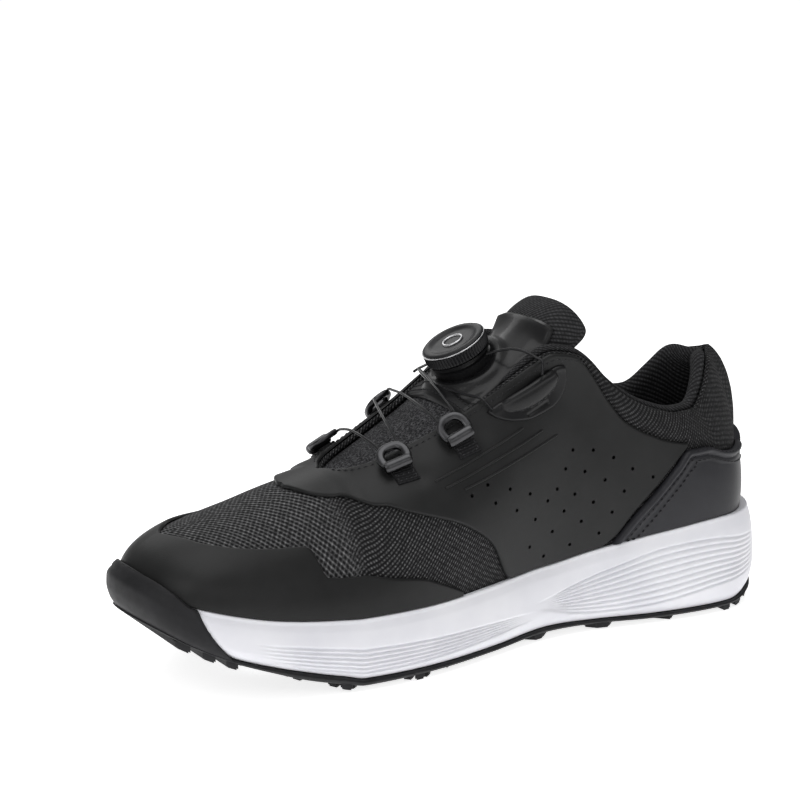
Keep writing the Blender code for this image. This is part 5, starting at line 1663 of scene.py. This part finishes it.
def make_bumper():
    grids = []
    shares = np.r_[np.linspace(0, 0.9, 22), 0.94, 0.97, 0.99, 1.0]
    for side in SIDES:
        rows_out = []
        rows_in = []
        for share in shares:
            ways = np.r_[np.linspace(0, 0.97, 60), 0.985, 0.995, 1.0] * bumper_end(share)
            along = sole_edge(side, ways, 0)[2]
            low = ground(along) + LUG_HEIGHT
            high = low + (bumper_top(along) - low) * share
            fade = np.cos(np.clip(ways / bumper_end(share), 0, 1) * math.pi / 2) ** 0.8
            flush = -read(("share", "inset"), BUMPER_FLUSH, "inset", share) + 0.0004
            out_by = flush + (read(("share", "bulge"), BUMPER_BULGE, "bulge", share) - flush) * fade
            crest = 0.0005 * math.exp(-(((share - 0.86) / 0.04) ** 2)) * fade
            edge = np.clip((1 - ways / bumper_end(share)) / 0.02, 0, 1)
            out_by = out_by - crest - 0.0010 * (1 - edge) ** 2
            x, y, _, _, _ = sole_edge(side, ways, -out_by)
            rows_out.append(np.column_stack([x, y, high]))
            depth = np.minimum(BUMPER_WALL, rib_inset(ways) - OVERLAY - 2 * GAP)
            x, y, _, _, _ = sole_edge(side, ways, depth)
            rows_in.append(np.column_stack([x, y, high]))
        outer = np.array(rows_out)
        inner = np.array(rows_in)
        grids += [outer, inner]
        for border in (lambda grid: grid[0], lambda grid: grid[-1], lambda grid: grid[:, -1]):
            grids.append(np.array([border(outer), border(inner)]))
    dress("toe_bumper", grids, RUBBER, "rubber", "outsole", sharp=50)


def cut_by(mesh, outline_points, low, high, operation):
    """A mesh cut by an upright prism or kept inside it."""
    ring = np.array([*outline_points, outline_points[0]])
    flat = [np.column_stack([ring, np.full(len(ring), z)]) for z in (low, high)]
    middle = ring[:-1].mean(axis=0)
    caps = [np.array([level_ring, np.column_stack([np.tile(middle, (len(ring), 1)), level_ring[:, 2]])])
            for level_ring in flat]
    return carve(mesh, mesh_of("prism", [np.array(flat), *caps]), operation)


def sole_outline(inset):
    ways = fine(0, 1, 0.008)
    zero = {side: np.zeros(len(ways)) for side in SIDES}
    ring = side_ring(zero, {side: np.full(len(ways), inset) for side in SIDES}, ways)
    keep = np.r_[True, np.linalg.norm(np.diff(ring[:, :2], axis=0), axis=1) > 1e-5]
    ring = ring[keep]
    return [tuple(point) for point in ring[:-1, :2]]


def make_outsole():
    ways = fine(0, 1, 0.006)
    loops = []
    for share, inset in TREAD_SIDE:
        height = {}
        for side in SIDES:
            along = sole_edge(side, ways, 0)[2]
            low = ground(along) + LUG_HEIGHT
            height[side] = low + (level("plate", along) - low) * share
        loops.append(side_ring(height, {side: np.full(len(ways), inset) for side in SIDES}, ways))
    loops = np.array(loops)
    half = loops.shape[1] // 2
    grids = [loops]
    for end in (loops[0], loops[-1]):
        rungs = np.linspace(0, 1, 9)[:, None, None]
        grids.append(end[:half] * (1 - rungs) + end[:half - 1:-1] * rungs)
    plate = cut_by(mesh_of("tread_plate", grids), octagon(GAP), -0.02, 0.05, "DIFFERENCE")
    dress("tread_plate", plate, RUBBER, "rubber", "outsole", sharp=35)


def lug_parts():
    """Centres, half sizes and turns of the blocks that show, with every third lug split in four."""
    parts = []
    for number, (x, y, half_x, half_y, turn) in enumerate(lug_boxes()):
        if half_x != half_y:
            parts.append((x, y, half_x, half_y, turn))
            continue
        reach = half_x * math.sqrt(2)
        near = [inside_sole(x + dx, y + dy, 0.004) for dx, dy in ((0, 0), (reach / 2, 0), (-reach / 2, 0))]
        if not all(near):
            continue
        if number % 3:
            parts.append((x, y, half_x, half_y, turn))
            continue
        step = half_x / 2 * math.sqrt(2)
        for dx, dy in ((step, 0), (-step, 0), (0, step), (0, -step)):
            parts.append((x + dx, y + dy, half_x / 2 - 0.0005, half_x / 2 - 0.0005, turn))
    return parts


def make_lugs():
    mesh = bpy.data.meshes.new("tread_lugs")
    work = bmesh.new()
    depth = LUG_HEIGHT + LUG_ROOT
    for x, y, half_x, half_y, turn in lug_parts():
        move = Matrix.Translation((x, y, depth / 2)) @ Matrix.Rotation(turn, 4, "Z")
        bmesh.ops.create_cube(work, size=2, matrix=move @ Matrix.Diagonal((half_x, half_y, depth / 2, 1)))
    bmesh.ops.bevel(work, geom=list(work.edges), offset=0.0006, segments=2, affect="EDGES")
    for vert in work.verts:
        vert.co.z += float(ground(np.clip(vert.co.x / SOLE_LENGTH + 0.5, 0, 1)))
        vert.co += Vector(SHIFT)
    work.to_mesh(mesh)
    work.free()
    mesh = cut_by(mesh, sole_outline(0.0024), -0.02, 0.06, "INTERSECT")
    mesh = cut_by(mesh, octagon(LUG_EDGE), -0.03, 0.05, "DIFFERENCE")
    dress("tread_lugs", mesh, RUBBER, "rubber", "outsole", sharp=40)


def make_inserts():
    """Threaded rings in the cleat slots."""
    cx, cy = well_centre()
    turn = np.linspace(0, 2 * math.pi, 33)
    small = np.linspace(0, 2 * math.pi, 9)
    thick = INSERT_RING
    for i, offset in enumerate((-SLOT_PITCH / 2, SLOT_PITCH / 2)):
        for j, shift in enumerate((-INSERT_PITCH / 2, INSERT_PITCH / 2)):
            x = cx + shift
            height = PLATE_DEPTH + PLATE_THICKNESS - GAP + well_lift(x)
            grid = [[(x + (INSERT_RADIUS + thick + thick * math.cos(b)) * math.cos(a),
                      cy + offset + (INSERT_RADIUS + thick + thick * math.cos(b)) * math.sin(a),
                      height + thick * math.sin(b)) for b in small] for a in turn]
            name = f"insert_ring_{i + 1}_{j + 1}"
            dress(name, [np.array(grid)], SILVER, "metal")


def finish_solids():
    for name, look in (
        ("cleat_rim", RIM_WHITE),
        ("cleat_plate", PLASTIC),
        ("cleat_nut_1", METAL),
        ("cleat_nut_2", METAL),
        ("insole", BOUCLE),
    ):
        for holder in frame["nodes"][name].material_slots:
            holder.material = look


# Studio

AIM = np.array([0.0, 0.0, 0.05])
CAMERA_AWAY = 0.9
CAMERA_TURN = math.radians(30)
CAMERA_RISE = math.radians(14.5)
LENS = 100.0
SENSOR = 36.0
IMAGE = 800
AIM_PIXEL = (446.5, 511.9)
FLOOR_HALF = 60
# Soft lights: name, place, size and power
LIGHTS = (
    ("top_soft", (0.1, 0.0, 1.3), (1.2, 0.9), 7.5),
    ("toe_soft", (1.1, 0.5, 0.9), (0.5, 0.7), 3.2),
    ("side_soft", (0.2, 1.3, 0.8), (1.0, 0.5), 2.2),
    ("back_soft", (-0.2, -1.2, 0.9), (1.2, 0.5), 3.5),
)
FLOOR_GLOW = 0.80
ROOM_LIGHT = 0.24


def make_camera():
    data = bpy.data.cameras.new("camera")
    data.lens = LENS
    data.sensor_width = SENSOR
    data.shift_x = (IMAGE / 2 - AIM_PIXEL[0]) / IMAGE
    data.shift_y = (AIM_PIXEL[1] - IMAGE / 2) / IMAGE
    camera = bpy.data.objects.new("camera", data)
    flat = math.cos(CAMERA_RISE)
    away = Vector((math.sin(CAMERA_TURN) * flat, math.cos(CAMERA_TURN) * flat, math.sin(CAMERA_RISE)))
    camera.location = Vector(AIM + SHIFT) + away * CAMERA_AWAY
    camera.rotation_euler = (-away).to_track_quat("-Z", "Y").to_euler()
    bpy.context.scene.collection.objects.link(camera)
    bpy.context.scene.camera = camera


def make_light(name, place, size, power):
    data = bpy.data.lights.new(name, "AREA")
    data.shape = "RECTANGLE"
    data.size = size[0]
    data.size_y = size[1]
    data.energy = power
    light = bpy.data.objects.new(name, data)
    light.location = place
    light.rotation_euler = (Vector((0, 0, 0.05)) - Vector(place)).to_track_quat("-Z", "Y").to_euler()
    bpy.context.scene.collection.objects.link(light)


def make_studio():
    mesh = bpy.data.meshes.new("floor")
    size = FLOOR_HALF
    corners = [(-size, -size, 0), (size, -size, 0), (size, size, 0), (-size, size, 0)]
    mesh.from_pydata(corners, [], [(0, 1, 2, 3)])
    floor = bpy.data.objects.new("floor", mesh)
    bpy.context.scene.collection.objects.link(floor)
    pale = Wiring("pale_floor", (0.93, 0.93, 0.93), 0.9)
    pale.shader.inputs["Specular IOR Level"].default_value = 0.0
    pale.shader.inputs["Emission Color"].default_value = (1, 1, 1, 1)
    pale.shader.inputs["Emission Strength"].default_value = FLOOR_GLOW
    mesh.materials.append(pale.finish(pale.bump(pale.noise(0.5), 0.0001, 0.1)))
    for light in LIGHTS:
        make_light(*light)
    world = bpy.data.worlds.new("studio")
    world.use_nodes = True
    tree = world.node_tree
    dim = tree.nodes["Background"]
    dim.inputs[0].default_value = (1, 1, 1, 1)
    dim.inputs[1].default_value = ROOM_LIGHT
    white = tree.nodes.new("ShaderNodeBackground")
    white.inputs[0].default_value = (1, 1, 1, 1)
    share = tree.nodes.new("ShaderNodeMixShader")
    path = tree.nodes.new("ShaderNodeLightPath")
    tree.links.new(path.outputs["Is Camera Ray"], share.inputs[0])
    tree.links.new(dim.outputs[0], share.inputs[1])
    tree.links.new(white.outputs[0], share.inputs[2])
    tree.links.new(share.outputs[0], tree.nodes["World Output"].inputs[0])
    bpy.context.scene.world = world
    bpy.context.scene.view_settings.view_transform = "Standard"


make_camera()
make_studio()
make_midsole()
make_outsole()
make_bumper()
make_lugs()
make_inserts()
finish_solids()
make_upper()
make_overlays()
make_seams()
make_collar()
make_tongue()
make_saddle()
make_dial()
make_guides()
make_top_guides()
make_lace()

bpy.context.view_layer.update()
